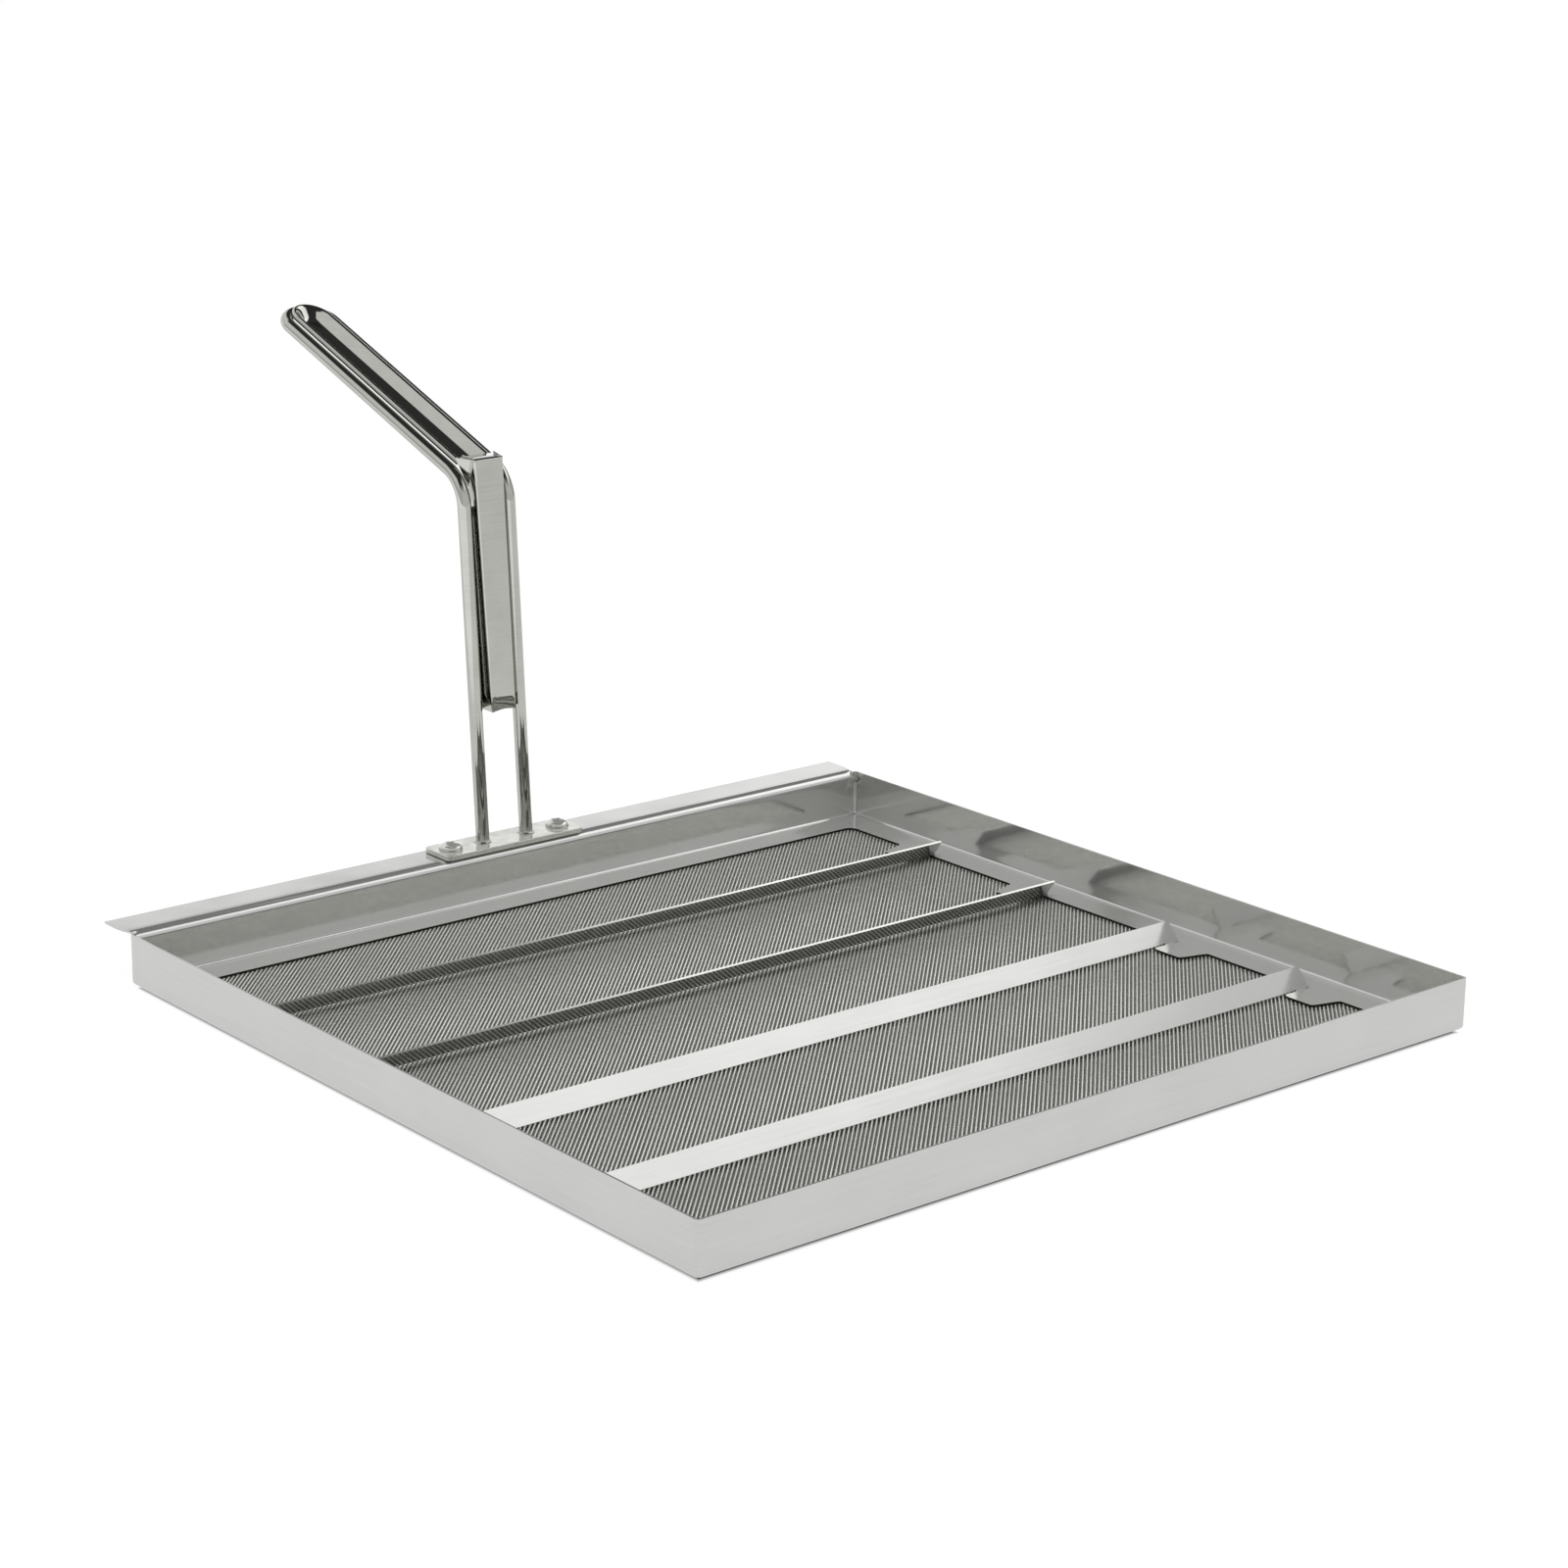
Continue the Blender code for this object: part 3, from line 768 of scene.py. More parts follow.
@dataclass
class RibSet:
    """The four stiffening ribs, turned up out of the floor sheet between the bays."""

    pan: FoldedPan
    height: float = 8.0
    lift: float = 1.3
    tilt: float = math.atan2(8.0, 6.0)
    back_set: float = 0.8
    bend: float = 0.8
    turns: int = 5
    overlap: float = 2.9
    end_cut: float = 0.8
    free_edge: float = 0.6
    crowd: float = 0.05
    join: Pair = (200.0, 201.2)
    along_steps: Point = (9.0, 0.4, 3.0)
    up_first: float = 1.0
    up_step: float = 2.0

    def build(self) -> list[Object]:
        """Fold the ribs.

        Returns:
            The four ribs, rear to front.
        """
        made = []
        for number, (base, lean) in enumerate(self.pan.rib_bases, start=1):
            bm = bmesh.new()
            skin(bm, self.rows(base, lean))
            weld_up(bm, near_middle, Vector((0.0, lean * math.sin(self.tilt), -math.cos(self.tilt))))
            rib = new_piece(f"rib_strip_{number}", bm, MILL_SHEET)
            solidify(rib, self.pan.sheet, self.pan.edge)
            made.append(baked(rib))
        return made

    def rows(self, base: float, lean: int) -> list[Row]:
        """The rib's lower face as rows from its fold to its top edge.

        Args:
            base: Y of the rib's foot.
            lean: Way that the top leans.

        Returns:
            The rows, each from left to right.
        """
        half = self.pan.half_length - self.pan.lip + self.overlap
        floor = self.pan.bottom
        run, climb = math.cos(self.tilt), math.sin(self.tilt)
        lead = self.lift / math.tan(self.tilt)
        cross = base + lean * (self.back_set - lead)
        reach = self.bend * math.tan(self.tilt / 2)
        length = (self.lift + self.height) / climb
        (free, fixed), (wide, close, late) = self.join, self.along_steps
        ends = spread(free, fixed, close)[1:-1] + spread(fixed, half, late)
        along = [-x for x in reversed(ends)] + spread(-free, free, wide) + ends
        rows = []
        for turn in (None, *range(self.turns + 1)):
            angle = self.tilt * (turn or 0) / self.turns
            folded = (self.bend * math.sin(angle) - reach, self.bend * (1 - math.cos(angle)))
            if turn is None:
                folded = (lead - self.back_set - self.pan.tab_start, 0.0)
            straight = self.free_edge / climb + (turn or 0) * self.crowd
            row = []
            for x in along:
                share = min(1.0, max(0.0, (abs(x) - free) / (fixed - free)))
                share = share * share * (3 - 2 * share)
                out = straight * run + (folded[0] - straight * run) * share
                up = straight * climb + (folded[1] - straight * climb) * share
                row.append((x, cross + lean * out, floor + up))
            rows.append(row)
        for step in spread(reach + self.up_first, length, self.up_step):
            trim = 1.0 - self.end_cut * (step - reach) / (length - reach) / half
            rows.append([(x * trim, cross + lean * step * run, floor + step * climb) for x in along])
        return rows


@dataclass
class WireCloth:
    """The woven floor, drawn as a bias weave in panels from front to rear.

    The real cloth has wires about 1.1 mm apart along the tray's sides, too fine to show.
    Its crossings line up in bright diagonals about 1.6 mm apart, which are what the eye
    sees. So the wires are laid along those diagonals, drawn coarser at 1.85 mm.
    """

    half_x: float = 213.0
    half_y: float = 203.0
    centre_z: float = 1.1
    bias: float = math.radians(45.0)
    pitch: float = 1.85
    wire: float = 0.88
    cross_wire: float = 0.15
    crimp: float = 0.04
    lift: float = 0.12
    panels: int = 6
    wire_sides: int = 6
    cross_sides: int = 3
    least_run: float = 0.1

    def build(self) -> list[Object]:
        """Weave the panels.

        Returns:
            The panels, front to rear.
        """
        tree = self.weave_tree()
        depth = 2 * self.half_y / self.panels
        across = 2 * math.ceil((self.half_x + self.half_y) / math.sqrt(2) / self.pitch) + 1
        made = []
        for number in range(self.panels):
            low = -self.half_y + depth * number
            panel = add_object(f"wire_cloth_{number + 1}", bpy.data.meshes.new("panel"))
            grow_by(panel, tree, {
                "Wires": across,
                "Span": (across - 1) * self.pitch * MM,
                "Wire Radius": self.wire / 2 * MM,
                "Cross Radius": self.cross_wire / 2 * MM,
                "Wire Sides": self.wire_sides,
                "Cross Sides": self.cross_sides,
                "Crimp": self.crimp * MM,
                "Lift": self.lift * MM,
                "Half Width": self.half_x * MM,
                "Low": low * MM,
                "High": (low + depth) * MM,
                "Centre": placed((0.0, 0.0, self.centre_z)),
                "Finish": DRAWN_WIRE.material(),
            })
            made.append(baked(panel))
        return made

    def weave_tree(self) -> GeometryNodeTree:
        """The tree that weaves one panel: zig-zag wires along both diagonals.

        Returns:
            The tree.
        """
        tree = geometry_tree(
            "bias_weave", Int=("Wires", "Wire Sides", "Cross Sides"),
            Vector=("Centre",), Material=("Finish",),
            Float=("Span", "Wire Radius", "Cross Radius", "Crimp", "Lift", "Half Width", "Low", "High"),
        )
        node = partial(add_node, tree)
        given = node("NodeGroupInput")
        grid = node("GeometryNodeMeshGrid", {
            "Size X": given["Span"], "Size Y": given["Span"],
            "Vertices X": given["Wires"], "Vertices Y": given["Wires"],
        })["Mesh"]
        index = node("GeometryNodeInputIndex")[0]
        column = node("FunctionNodeIntegerMath", {0: index, 1: given["Wires"]}, operation="DIVIDE_FLOOR")[0]
        # The row count is odd, so index alone changes parity from wire to wire.
        stagger = node("FunctionNodeIntegerMath", {0: index, 1: column}, operation="ADD")[0]
        odd = node("FunctionNodeIntegerMath", {0: stagger, 1: 2}, operation="MODULO")[0]
        sign = node("ShaderNodeMath", {0: odd, 1: 2.0, 2: -1.0}, operation="MULTIPLY_ADD")[0]
        height = node(
            "ShaderNodeMath", {0: sign, 1: given["Crimp"], 2: given["Lift"]}, operation="MULTIPLY_ADD")[0]
        ends = node("GeometryNodeInputMeshEdgeVertices")
        along = node(
            "ShaderNodeVectorMath", {0: ends["Position 1"], 1: ends["Position 2"]}, operation="SUBTRACT")[0]
        slope = node("ShaderNodeSeparateXYZ", {0: along})["X"]
        run = node("ShaderNodeMath", {0: slope}, operation="ABSOLUTE")[0]
        middle = node("GeometryNodeInputPosition")[0]
        turned = node(
            "ShaderNodeVectorRotate", {"Vector": middle, "Angle": self.bias}, rotation_type="Z_AXIS")[0]
        spot = node("ShaderNodeSeparateXYZ", {0: turned})
        width = node("ShaderNodeMath", {0: spot["X"]}, operation="ABSOLUTE")[0]
        kept = True
        for value, operation, limit in (
            (width, "LESS_THAN", "Half Width"),
            (spot["Y"], "GREATER_EQUAL", "Low"),
            (spot["Y"], "LESS_THAN", "High"),
        ):
            within = node("FunctionNodeCompare", {0: value, 1: given[limit]}, operation=operation)[0]
            kept = node("FunctionNodeBooleanMath", {0: kept, 1: within}, operation="AND")[0]
        joined = node("GeometryNodeJoinGeometry")[0]
        for way, operation, label in ((1.0, "GREATER_THAN", "Wire"), (-1.0, "LESS_THAN", "Cross")):
            section = node("GeometryNodeCurvePrimitiveCircle", {
                "Resolution": given[f"{label} Sides"], "Radius": given[f"{label} Radius"]})["Curve"]
            family = node("FunctionNodeCompare", {0: run, 1: self.least_run * MM}, operation=operation)[0]
            chosen = node("FunctionNodeBooleanMath", {0: family, 1: kept}, operation="AND")[0]
            signed = node("ShaderNodeMath", {0: height, 1: way}, operation="MULTIPLY")[0]
            offset = node("ShaderNodeCombineXYZ", {"Z": signed})[0]
            flat = node("GeometryNodeCaptureAttribute", {"Geometry": grid}, domain="POINT")[0].node
            flat.capture_items.new("VECTOR", "Crimped")
            tree.links.new(offset, flat.inputs["Crimped"])
            wires = node(
                "GeometryNodeMeshToCurve", {"Mesh": flat.outputs["Geometry"], "Selection": chosen})[0]
            crimped = node(
                "GeometryNodeSetPosition", {"Geometry": wires, "Offset": flat.outputs["Crimped"]})[0]
            tube = node("GeometryNodeCurveToMesh", {"Curve": crimped, "Profile Curve": section})[0]
            tree.links.new(tube, joined.node.inputs[0])
        smooth = node("GeometryNodeSetShadeSmooth", {"Geometry": joined})[0]
        laid = node("GeometryNodeTransform", {
            "Geometry": smooth, "Translation": given["Centre"], "Rotation": (0.0, 0.0, self.bias)})[0]
        close_tree(tree, laid, given["Finish"])
        return tree


@dataclass
class HandleFoot:
    """The foot plate of the handle with its screws, washers, nuts and rod welds."""

    centre_x: float = -2.4
    centre_y: float = 225.0
    plate: Pair = (84.0, 22.0)
    plate_corner: float = 2.5
    plate_edge: float = 0.3
    seat: float = 27.1
    top: float = 29.7
    screw_spacing: float = 66.0
    head: Pair = (12.0, 3.4)
    crown: Pair = (0.38, 0.62)
    chamfer: float = 0.15
    screw_edge: float = 0.12
    recess: Point = (7.4, 1.9, 1.9)
    recess_turn: float = 20.0
    recess_grow: Pair = (0.62, 1.1)
    recess_over: float = 1.0
    shank: float = 6.0
    shank_point: float = 0.5
    gap: float = 0.3
    washer: Pair = (12.5, 1.2)
    nut: Pair = (10.0, 5.0)
    nut_trim: Pair = (0.6, 0.96)
    washer_z: float = 24.3
    nut_z: float = 19.0
    tail: float = 1.6
    rod_spacing: float = 26.75
    rod: float = 7.0
    weld: Pair = (4.5, 1.1)
    weld_rows: tuple[float, ...] = (0.0, 0.18, 0.4, 0.65, 0.85, 1.0)
    weld_waves: tuple[Point, ...] = ((0.16, 5.0, 0.7), (0.09, 11.0, 2.0))
    weld_bite: float = 0.2
    weld_hollow: float = 0.92
    weld_inner: Pair = (0.8, 0.9)
    steps: int = 40
    crown_steps: int = 10
    corner_steps: int = 6

    def build(self) -> list[Made]:
        """Make the plate and everything that is bolted or welded to it.

        Returns:
            Each piece with the nodes it stands for and its slot.
        """
        return [
            (self.make_plate(), ("handle_plate",), Slot.HANDLE),
            (self.make_screws(), ("screw_left", "screw_right"), Slot.HANDLE),
            (self.make_washers(), ("washer_left", "washer_right"), Slot.SHEET),
            (self.make_nuts(), ("nut_left", "nut_right"), Slot.SHEET),
            (self.make_welds(), ("foot_weld_left", "foot_weld_right"), Slot.WELD),
        ]

    def make_plate(self) -> Object:
        """Cut the foot plate, a flat bar with round corners.

        Returns:
            The plate.
        """
        half_x, half_y = self.plate[0] / 2 - self.plate_corner, self.plate[1] / 2 - self.plate_corner
        outline = []
        for sx, sy, start in ((1, 1, 0.0), (-1, 1, 90.0), (-1, -1, 180.0), (1, -1, 270.0)):
            centre = (self.centre_x + sx * half_x, self.centre_y + sy * half_y)
            outline += arc(centre, self.plate_corner, start, start + 90.0, self.corner_steps)
        rings = [[(x, y, z) for x, y in outline] for z in (self.seat, self.top)]
        plate = new_piece("foot_plate", prism(rings), TUMBLED_STEEL)
        break_edges(plate, self.plate_edge)
        return baked(plate)

    def turned(self, name: str, profile: Sequence[Pair], finish: SteelFinish) -> Object:
        """Turn a closed body about the frame's own origin.

        Args:
            name: Name of the piece.
            profile: (radius, height) points in millimetres.
            finish: Finish of the piece.

        Returns:
            The piece, in metres around the origin.
        """
        bm = bmesh.new()
        rings = []
        for radius, z in profile:
            ring = arc((0.0, 0.0), radius, 0.0, 360.0, self.steps)[:-1]
            rings.append([(x, y, z) for x, y in ring])
        skin(bm, rings, closed=True)
        return self.at_origin(name, bm, finish)

    def at_origin(self, name: str, bm: BMesh, finish: SteelFinish) -> Object:
        """Store a mesh that a geometry tree will set in its places.

        Args:
            name: Name of the piece.
            bm: Its mesh around the origin, in millimetres.
            finish: Finish of the piece.

        Returns:
            The piece, in metres around the origin.
        """
        clean_up(bm)
        obj = new_piece(name, bm, finish)
        obj.data.transform(Matrix.Translation((0.0, -TRAY_Y, 0.0)))
        return obj

    def pair(self, obj: Object, spacing: float, z: float, finish: SteelFinish) -> Object:
        """Set a piece left and right of the handle's centre.

        Args:
            obj: Piece around the origin.
            spacing: Distance between the two, in millimetres.
            z: Their height.
            finish: Their finish.

        Returns:
            The piece as one plain mesh.
        """
        grow_by(obj, row_tree(), {
            "Count": len(Side),
            "First": placed((self.centre_x - spacing / 2, self.centre_y, z)),
            "Step": Vector((spacing * MM, 0.0, 0.0)),
            "Finish": finish.material(),
        })
        return baked(obj)

    def make_screws(self) -> Object:
        """Turn two pan-head screws and cut their cross recesses.

        Returns:
            Both screws.
        """
        (radius, height), shank = (self.head[0] / 2, self.head[1]), self.shank / 2
        foot = self.nut_z - self.tail - self.top
        profile = []
        for share in shares(self.crown_steps):
            angle = math.pi / 2 * share
            rise = self.crown[0] + self.crown[1] * math.cos(angle)
            profile.append((radius * math.sin(angle), height * rise))
        profile += [(radius, self.chamfer), (radius - self.chamfer, 0.0), (shank, 0.0)]
        profile += [(shank, foot + self.shank_point), (shank - self.shank_point, foot), (0.0, foot)]
        screw = self.turned("plate_screws", profile, TUMBLED_STEEL)
        cutter = self.recess_cutter()
        cut = screw.modifiers.new("recess", "BOOLEAN")
        cut.operation = "DIFFERENCE"
        cut.solver = "EXACT"
        cut.object = cutter
        break_edges(screw, self.screw_edge)
        baked(screw)
        bpy.data.objects.remove(cutter, do_unlink=True)
        return self.pair(screw, self.screw_spacing, self.top, TUMBLED_STEEL)

    def recess_cutter(self) -> Object:
        """Make the cross-shaped driver recess as a tapered tool body.

        Returns:
            The tool, around the origin.
        """
        length, width = self.recess[0] / 2, self.recess[1] / 2
        outline = []
        for quarter in range(4):
            turn = Matrix.Rotation(math.radians(90.0 * quarter + self.recess_turn), 2)
            outline += [turn @ Vector(at) for at in ((length, -width), (length, width), (width, width))]
        levels = (self.head[1] - self.recess[2], self.head[1] + self.recess_over)
        rings = [[(p.x * grow, p.y * grow, z) for p in outline] for z, grow in zip(levels, self.recess_grow)]
        return self.at_origin("recess_tool", prism(rings), TUMBLED_STEEL)

    def make_washers(self) -> Object:
        """Turn two washers for under the flange.

        Returns:
            Both washers.
        """
        outer, thick, hole = self.washer[0] / 2, self.washer[1] + self.gap, self.shank / 2
        inset = outer - self.chamfer
        profile = [(hole, thick), (inset, thick), (outer, thick - self.chamfer), (outer, self.chamfer)]
        profile += [(inset, 0.0), (hole, 0.0), (hole, thick)]
        washer = self.turned("flange_washers", profile, MILL_SHEET)
        return self.pair(washer, self.screw_spacing, self.washer_z, MILL_SHEET)

    def make_nuts(self) -> Object:
        """Make two hexagon nuts with chamfered corners.

        Returns:
            Both nuts.
        """
        half, height, bore = self.nut[0] / 2, self.nut[1] + self.gap, self.shank / 2
        side = math.pi / 3
        trim, cap = self.nut_trim
        rings = []
        for z, most in ((0.0, cap), (trim, math.inf), (height - trim, math.inf), (height, cap)):
            ring = []
            for share in shares(self.steps * 3)[:-1]:
                angle = math.tau * share
                within = (angle + side / 2) % side - side / 2
                reach = min(half / math.cos(within), half * most)
                ring.append((reach * math.cos(angle), reach * math.sin(angle), z))
            rings.append(ring)
        rings += [ring_to(rings[0], bore, height), ring_to(rings[0], bore, 0.0), rings[0]]
        bm = bmesh.new()
        skin(bm, rings, closed=True)
        nut = self.at_origin("flange_nuts", bm, MILL_SHEET)
        return self.pair(nut, self.screw_spacing, self.nut_z, MILL_SHEET)

    def make_welds(self) -> Object:
        """Make two lumpy fillet welds round the rod's feet.

        Returns:
            Both welds.
        """
        radius, height = self.weld
        rod = self.rod / 2
        bite = rod - self.weld_bite
        rings = []
        for share in self.weld_rows:
            hollow = 1.0 - (1.0 - (1.0 - share) ** 2) * self.weld_hollow
            ring = []
            for part in shares(self.steps)[:-1]:
                angle = math.tau * part
                lump = 1.0 + sum(size * math.sin(count * angle + at) for size, count, at in self.weld_waves)
                reach = bite + (radius - bite) * hollow * lump
                ring.append((reach * math.cos(angle), reach * math.sin(angle), height * share * lump))
            rings.append(ring)
        inner = rod * self.weld_inner[0]
        rings += [ring_to(rings[0], inner, z) for z in (height * self.weld_inner[1], 0.0)] + [rings[0]]
        bm = bmesh.new()
        skin(bm, rings, closed=True)
        weld = self.at_origin("foot_welds", bm, RUN_WELD)
        return self.pair(weld, self.rod_spacing, self.top, RUN_WELD)


@dataclass
class HandleRod:
    """The handle's side view and the rod that is bent to it."""

    foot: HandleFoot
    lean: float = math.radians(4.0)
    knee_height: float = 183.5
    knee_radius: float = 20.0
    knee_steps: int = 14
    rise: float = math.radians(20.0)
    grip: float = 165.83
    loop_steps: int = 28
    sides: int = 28
    knee: Vector = field(init=False)
    leg_way: Vector = field(init=False)
    grip_way: Vector = field(init=False)
    grip_up: Vector = field(init=False)

    def __post_init__(self) -> None:
        """Work out the knee and the directions of the legs and the grip."""
        self.leg_way = Vector((0.0, math.sin(self.lean), math.cos(self.lean)))
        self.grip_way = Vector((0.0, math.cos(self.rise), math.sin(self.rise)))
        self.grip_up = Vector((0.0, -math.sin(self.rise), math.cos(self.rise)))
        knee_y = self.foot.centre_y + self.knee_height * math.tan(self.lean)
        self.knee = Vector((self.foot.centre_x, knee_y, self.foot.top + self.knee_height))

    def leg_y(self, z: float) -> float:
        """Where the legs' centre line stands at a height."""
        return self.knee.y + (z - self.knee.z) * math.tan(self.lean)

    def side_path(self, x: float) -> list[Vector]:
        """One side of the rod, from its foot over the knee.

        Args:
            x: Where the side stands.

        Returns:
            The centre line's points.
        """
        cosine = self.leg_way.dot(self.grip_way)
        turn = math.acos(cosine)
        start = self.knee - self.leg_way * self.knee_radius * math.tan(turn / 2)
        inward = (self.grip_way - self.leg_way * cosine).normalized()
        centre = start + inward * self.knee_radius
        points = [self.knee - self.leg_way * ((self.knee.z - self.foot.top) / self.leg_way.z)]
        for share in shares(self.knee_steps):
            spoke = self.leg_way * math.sin(turn * share) - inward * math.cos(turn * share)
            points.append(centre + spoke * self.knee_radius)
        return [Vector((x, p.y, p.z)) for p in points]

    def path(self) -> list[Vector]:
        """The rod's centre line.

        Returns:
            Its points from the left foot round the loop to the right foot.
        """
        half = self.foot.rod_spacing / 2
        end = self.knee + self.grip_way * self.grip
        loop = []
        for share in shares(self.loop_steps):
            angle = math.pi * share
            side = Vector((-half * math.cos(angle), 0.0, 0.0))
            loop.append(end + side + self.grip_way * half * math.sin(angle))
        left = self.side_path(self.foot.centre_x - half)
        right = self.side_path(self.foot.centre_x + half)
        return left + loop + list(reversed(right))

    def build(self) -> Object:
        """Sweep the rod along its centre line.

        Returns:
            The rod.
        """
        bm = bmesh.new()
        verts = [bm.verts.new(point) for point in self.path()]
        for a, b in zip(verts, verts[1:]):
            bm.edges.new((a, b))
        rod = new_piece("handle_bar", bm, BUFFED_STEEL)
        grow_by(rod, self.sweep_tree(), {
            "Radius": self.foot.rod / 2 * MM,
            "Sides": self.sides,
            "Finish": BUFFED_STEEL.material(),
        })
        return baked(rod)

    def sweep_tree(self) -> GeometryNodeTree:
        """The tree that sweeps a round bar along a path of edges.

        Returns:
            The tree.
        """
        tree = geometry_tree("swept_bar", Float=("Radius",), Int=("Sides",), Material=("Finish",))
        node = partial(add_node, tree)
        given = node("NodeGroupInput")
        line = node("GeometryNodeMeshToCurve", {"Mesh": given["Geometry"]})[0]
        section = node("GeometryNodeCurvePrimitiveCircle", {
            "Resolution": given["Sides"], "Radius": given["Radius"]})["Curve"]
        bar = node("GeometryNodeCurveToMesh", {
            "Curve": line, "Profile Curve": section, "Fill Caps": True})[0]
        smooth = node("GeometryNodeSetShadeSmooth", {"Geometry": bar})[0]
        close_tree(tree, smooth, given["Finish"])
        return tree


@dataclass
class GripInserts:
    """The two pressed sheets between the rods: the lower channel and the upper trough."""

    rod: HandleRod
    sheet: float = 0.9
    channel_bottom: float = 67.0
    hooks_top: float = 170.0
    shoulder: float = 179.5
    channel_top: float = 194.0
    channel_steps: Pair = (9.0, 5.0)
    half_width: float = 8.6
    taper: float = 1.35
    front: Pair = (6.25, 4.3)
    behind: float = 3.8
    arch: float = 0.9
    flat: float = 0.02
    fold: float = 1.0
    fold_steps: tuple[int, int] = (4, 5)
    web_steps: int = 8
    rear_points: int = 6
    hood: float = 12.0
    flare: float = 3.4
    hood_fold: float = 0.5
    hood_ease: Pair = (1.2, 0.3)
    crease: float = math.radians(38.0)
    probe_x: Pair = (4.0, 3.0)
    probe_z: Pair = (120.0, 180.0)
    trough_start: float = 11.0
    trough_step: float = 12.0
    spoon_steps: int = 20
    spline_steps: int = 4
    trough_side: tuple[Pair, ...] = (
        (0.0, -0.6), (3.2, -0.6), (4.8, -0.2), (6.2, 1.4), (7.6, 3.1), (8.9, 4.65))
    trough_end: tuple[Pair, ...] = (
        (0.0, -0.6), (2.6, -0.6), (5.0, 0.2), (7.6, 1.9), (10.2, 3.7), (11.5, 4.4))
    hem_side: tuple[Pair, ...] = ((9.25, 4.9), (9.55, 4.85), (9.75, 4.5), (9.75, 2.9))
    hem_end: tuple[Pair, ...] = ((11.9, 4.6), (12.2, 4.55), (12.4, 4.25), (12.4, 3.8))
    edge: float = 0.14

    def build(self) -> list[Made]:
        """Press both inserts.

        Returns:
            Each piece with the node it stands for and its slot.
        """
        return [
            (self.make_channel(), ("grip_channel",), Slot.HANDLE),
            (self.make_trough(), ("grip_trough",), Slot.HANDLE),
        ]

    def section(self, height: float, skip: int = 0) -> Row:
        """The channel's outer face at a height, from its left hook to its right one.

        Args:
            height: Height above the foot plate.
            skip: Points left out at both ends; hooks and rear folds have six.

        Returns:
            The points, with rounded folds.
        """
        share = (height - self.channel_bottom) / (self.channel_top - self.channel_bottom)
        half = self.half_width - self.taper * (1.0 - share)
        front = self.front[0] + (self.front[1] - self.front[0]) * share
        fold, behind = self.fold, self.behind
        left = [(-self.rod.foot.rod_spacing / 2, behind), (-half - fold, behind)]
        left += arc((-half - fold, behind - fold), fold, 90.0, 0.0, self.fold_steps[0])[1:]
        left += arc((-half + fold, -front + fold), fold, 180.0, 270.0, self.fold_steps[1])
        inner = half - fold
        web = [(-inner + 2 * inner * t, -front) for t in shares(self.web_steps)[1:-1]]
        outline = left + web + [(-x, y) for x, y in reversed(left)]
        z = self.rod.foot.top + height
        kept = outline[skip:len(outline) - skip]
        return [(self.rod.foot.centre_x + x, self.rod.leg_y(z) + y, z) for x, y in kept]

    def make_channel(self) -> Object:
        """Press the lower insert: a hat-shaped channel with a hood over the knee.

        Returns:
            The channel.
        """
        bm = bmesh.new()
        low, high = self.channel_steps
        rows = [self.section(height) for height in spread(self.channel_bottom, self.hooks_top, low)]
        rows[0] = self.arched(rows[0])
        skin(bm, rows)
        upper = spread(self.hooks_top, self.shoulder, high)
        walls = [self.section(height, self.rear_points - 1) for height in upper]
        skin(bm, walls)
        self.add_hood(bm, walls[-1])
        weld_up(bm, self.is_web, Vector((0.0, -1.0, 0.0)))
        channel = new_piece("grip_channel_sheet", bm, BUFFED_STEEL)
        solidify(channel, self.sheet, self.edge)
        baked(channel)
        channel.data.set_sharp_from_angle(angle=self.crease)
        return channel

    def arched(self, row: Row) -> Row:
        """Cut the edge of the channel's web to a shallow arch.

        Args:
            row: The channel's bottom row.

        Returns:
            The row with its web arched.
        """
        half = self.half_width - self.taper
        web_y = min(y for _, y, _ in row) + self.flat
        points = []
        for x, y, z in row:
            across = min(1.0, abs(x - self.rod.foot.centre_x) / half)
            rise = self.arch * math.cos(math.pi / 2 * across) if y < web_y else 0.0
            points.append((x, y, z + rise))
        return points

    def is_web(self, centre: Vector) -> bool:
        """Whether a face centre lies on the channel's flat web."""
        near = abs(centre.x - self.rod.foot.centre_x) < self.probe_x[0]
        return near and self.probe_z[0] < centre.z < self.probe_z[1]

    def is_trough_floor(self, centre: Vector) -> bool:
        """Whether a face centre lies on the trough's flat floor."""
        return abs(centre.x - self.rod.foot.centre_x) < self.probe_x[1]

    def add_hood(self, bm: BMesh, shoulder: Row) -> None:
        """Close the channel over the knee with a roof and two flared side facets.

        Args:
            bm: Mesh of the channel.
            shoulder: The channel's last row, without its hooks.
        """
        bend, (early, late) = self.hood_fold, self.hood_ease
        upper = self.section(self.channel_top, self.rear_points)
        front_y = min(y for _, y, _ in upper)
        ridge = upper[0][2]
        rows = [shoulder[1:-1], self.section((self.shoulder + self.channel_top) / 2, self.rear_points)]
        rows += [[(x, y, ridge - bend * share) for x, y, _ in upper] for share in (early, 1.0)]
        rows.append([(x, (y + front_y) / 2 + bend * late, ridge - bend * late) for x, y, _ in upper])
        centre = self.rod.foot.centre_x
        for depth in (bend, self.hood / 2, self.hood):
            grow = 1.0 + self.flare * depth / self.hood / self.half_width
            rows.append([(centre + (x - centre) * grow, front_y + depth, ridge) for x, _, _ in upper])
        skin(bm, rows)
        for end in (0, -1):
            verts = [bm.verts.new(row[end]) for row in (shoulder, *rows)]
            for a, b in zip(verts[1:], verts[2:]):
                bm.faces.new((verts[0], a, b))

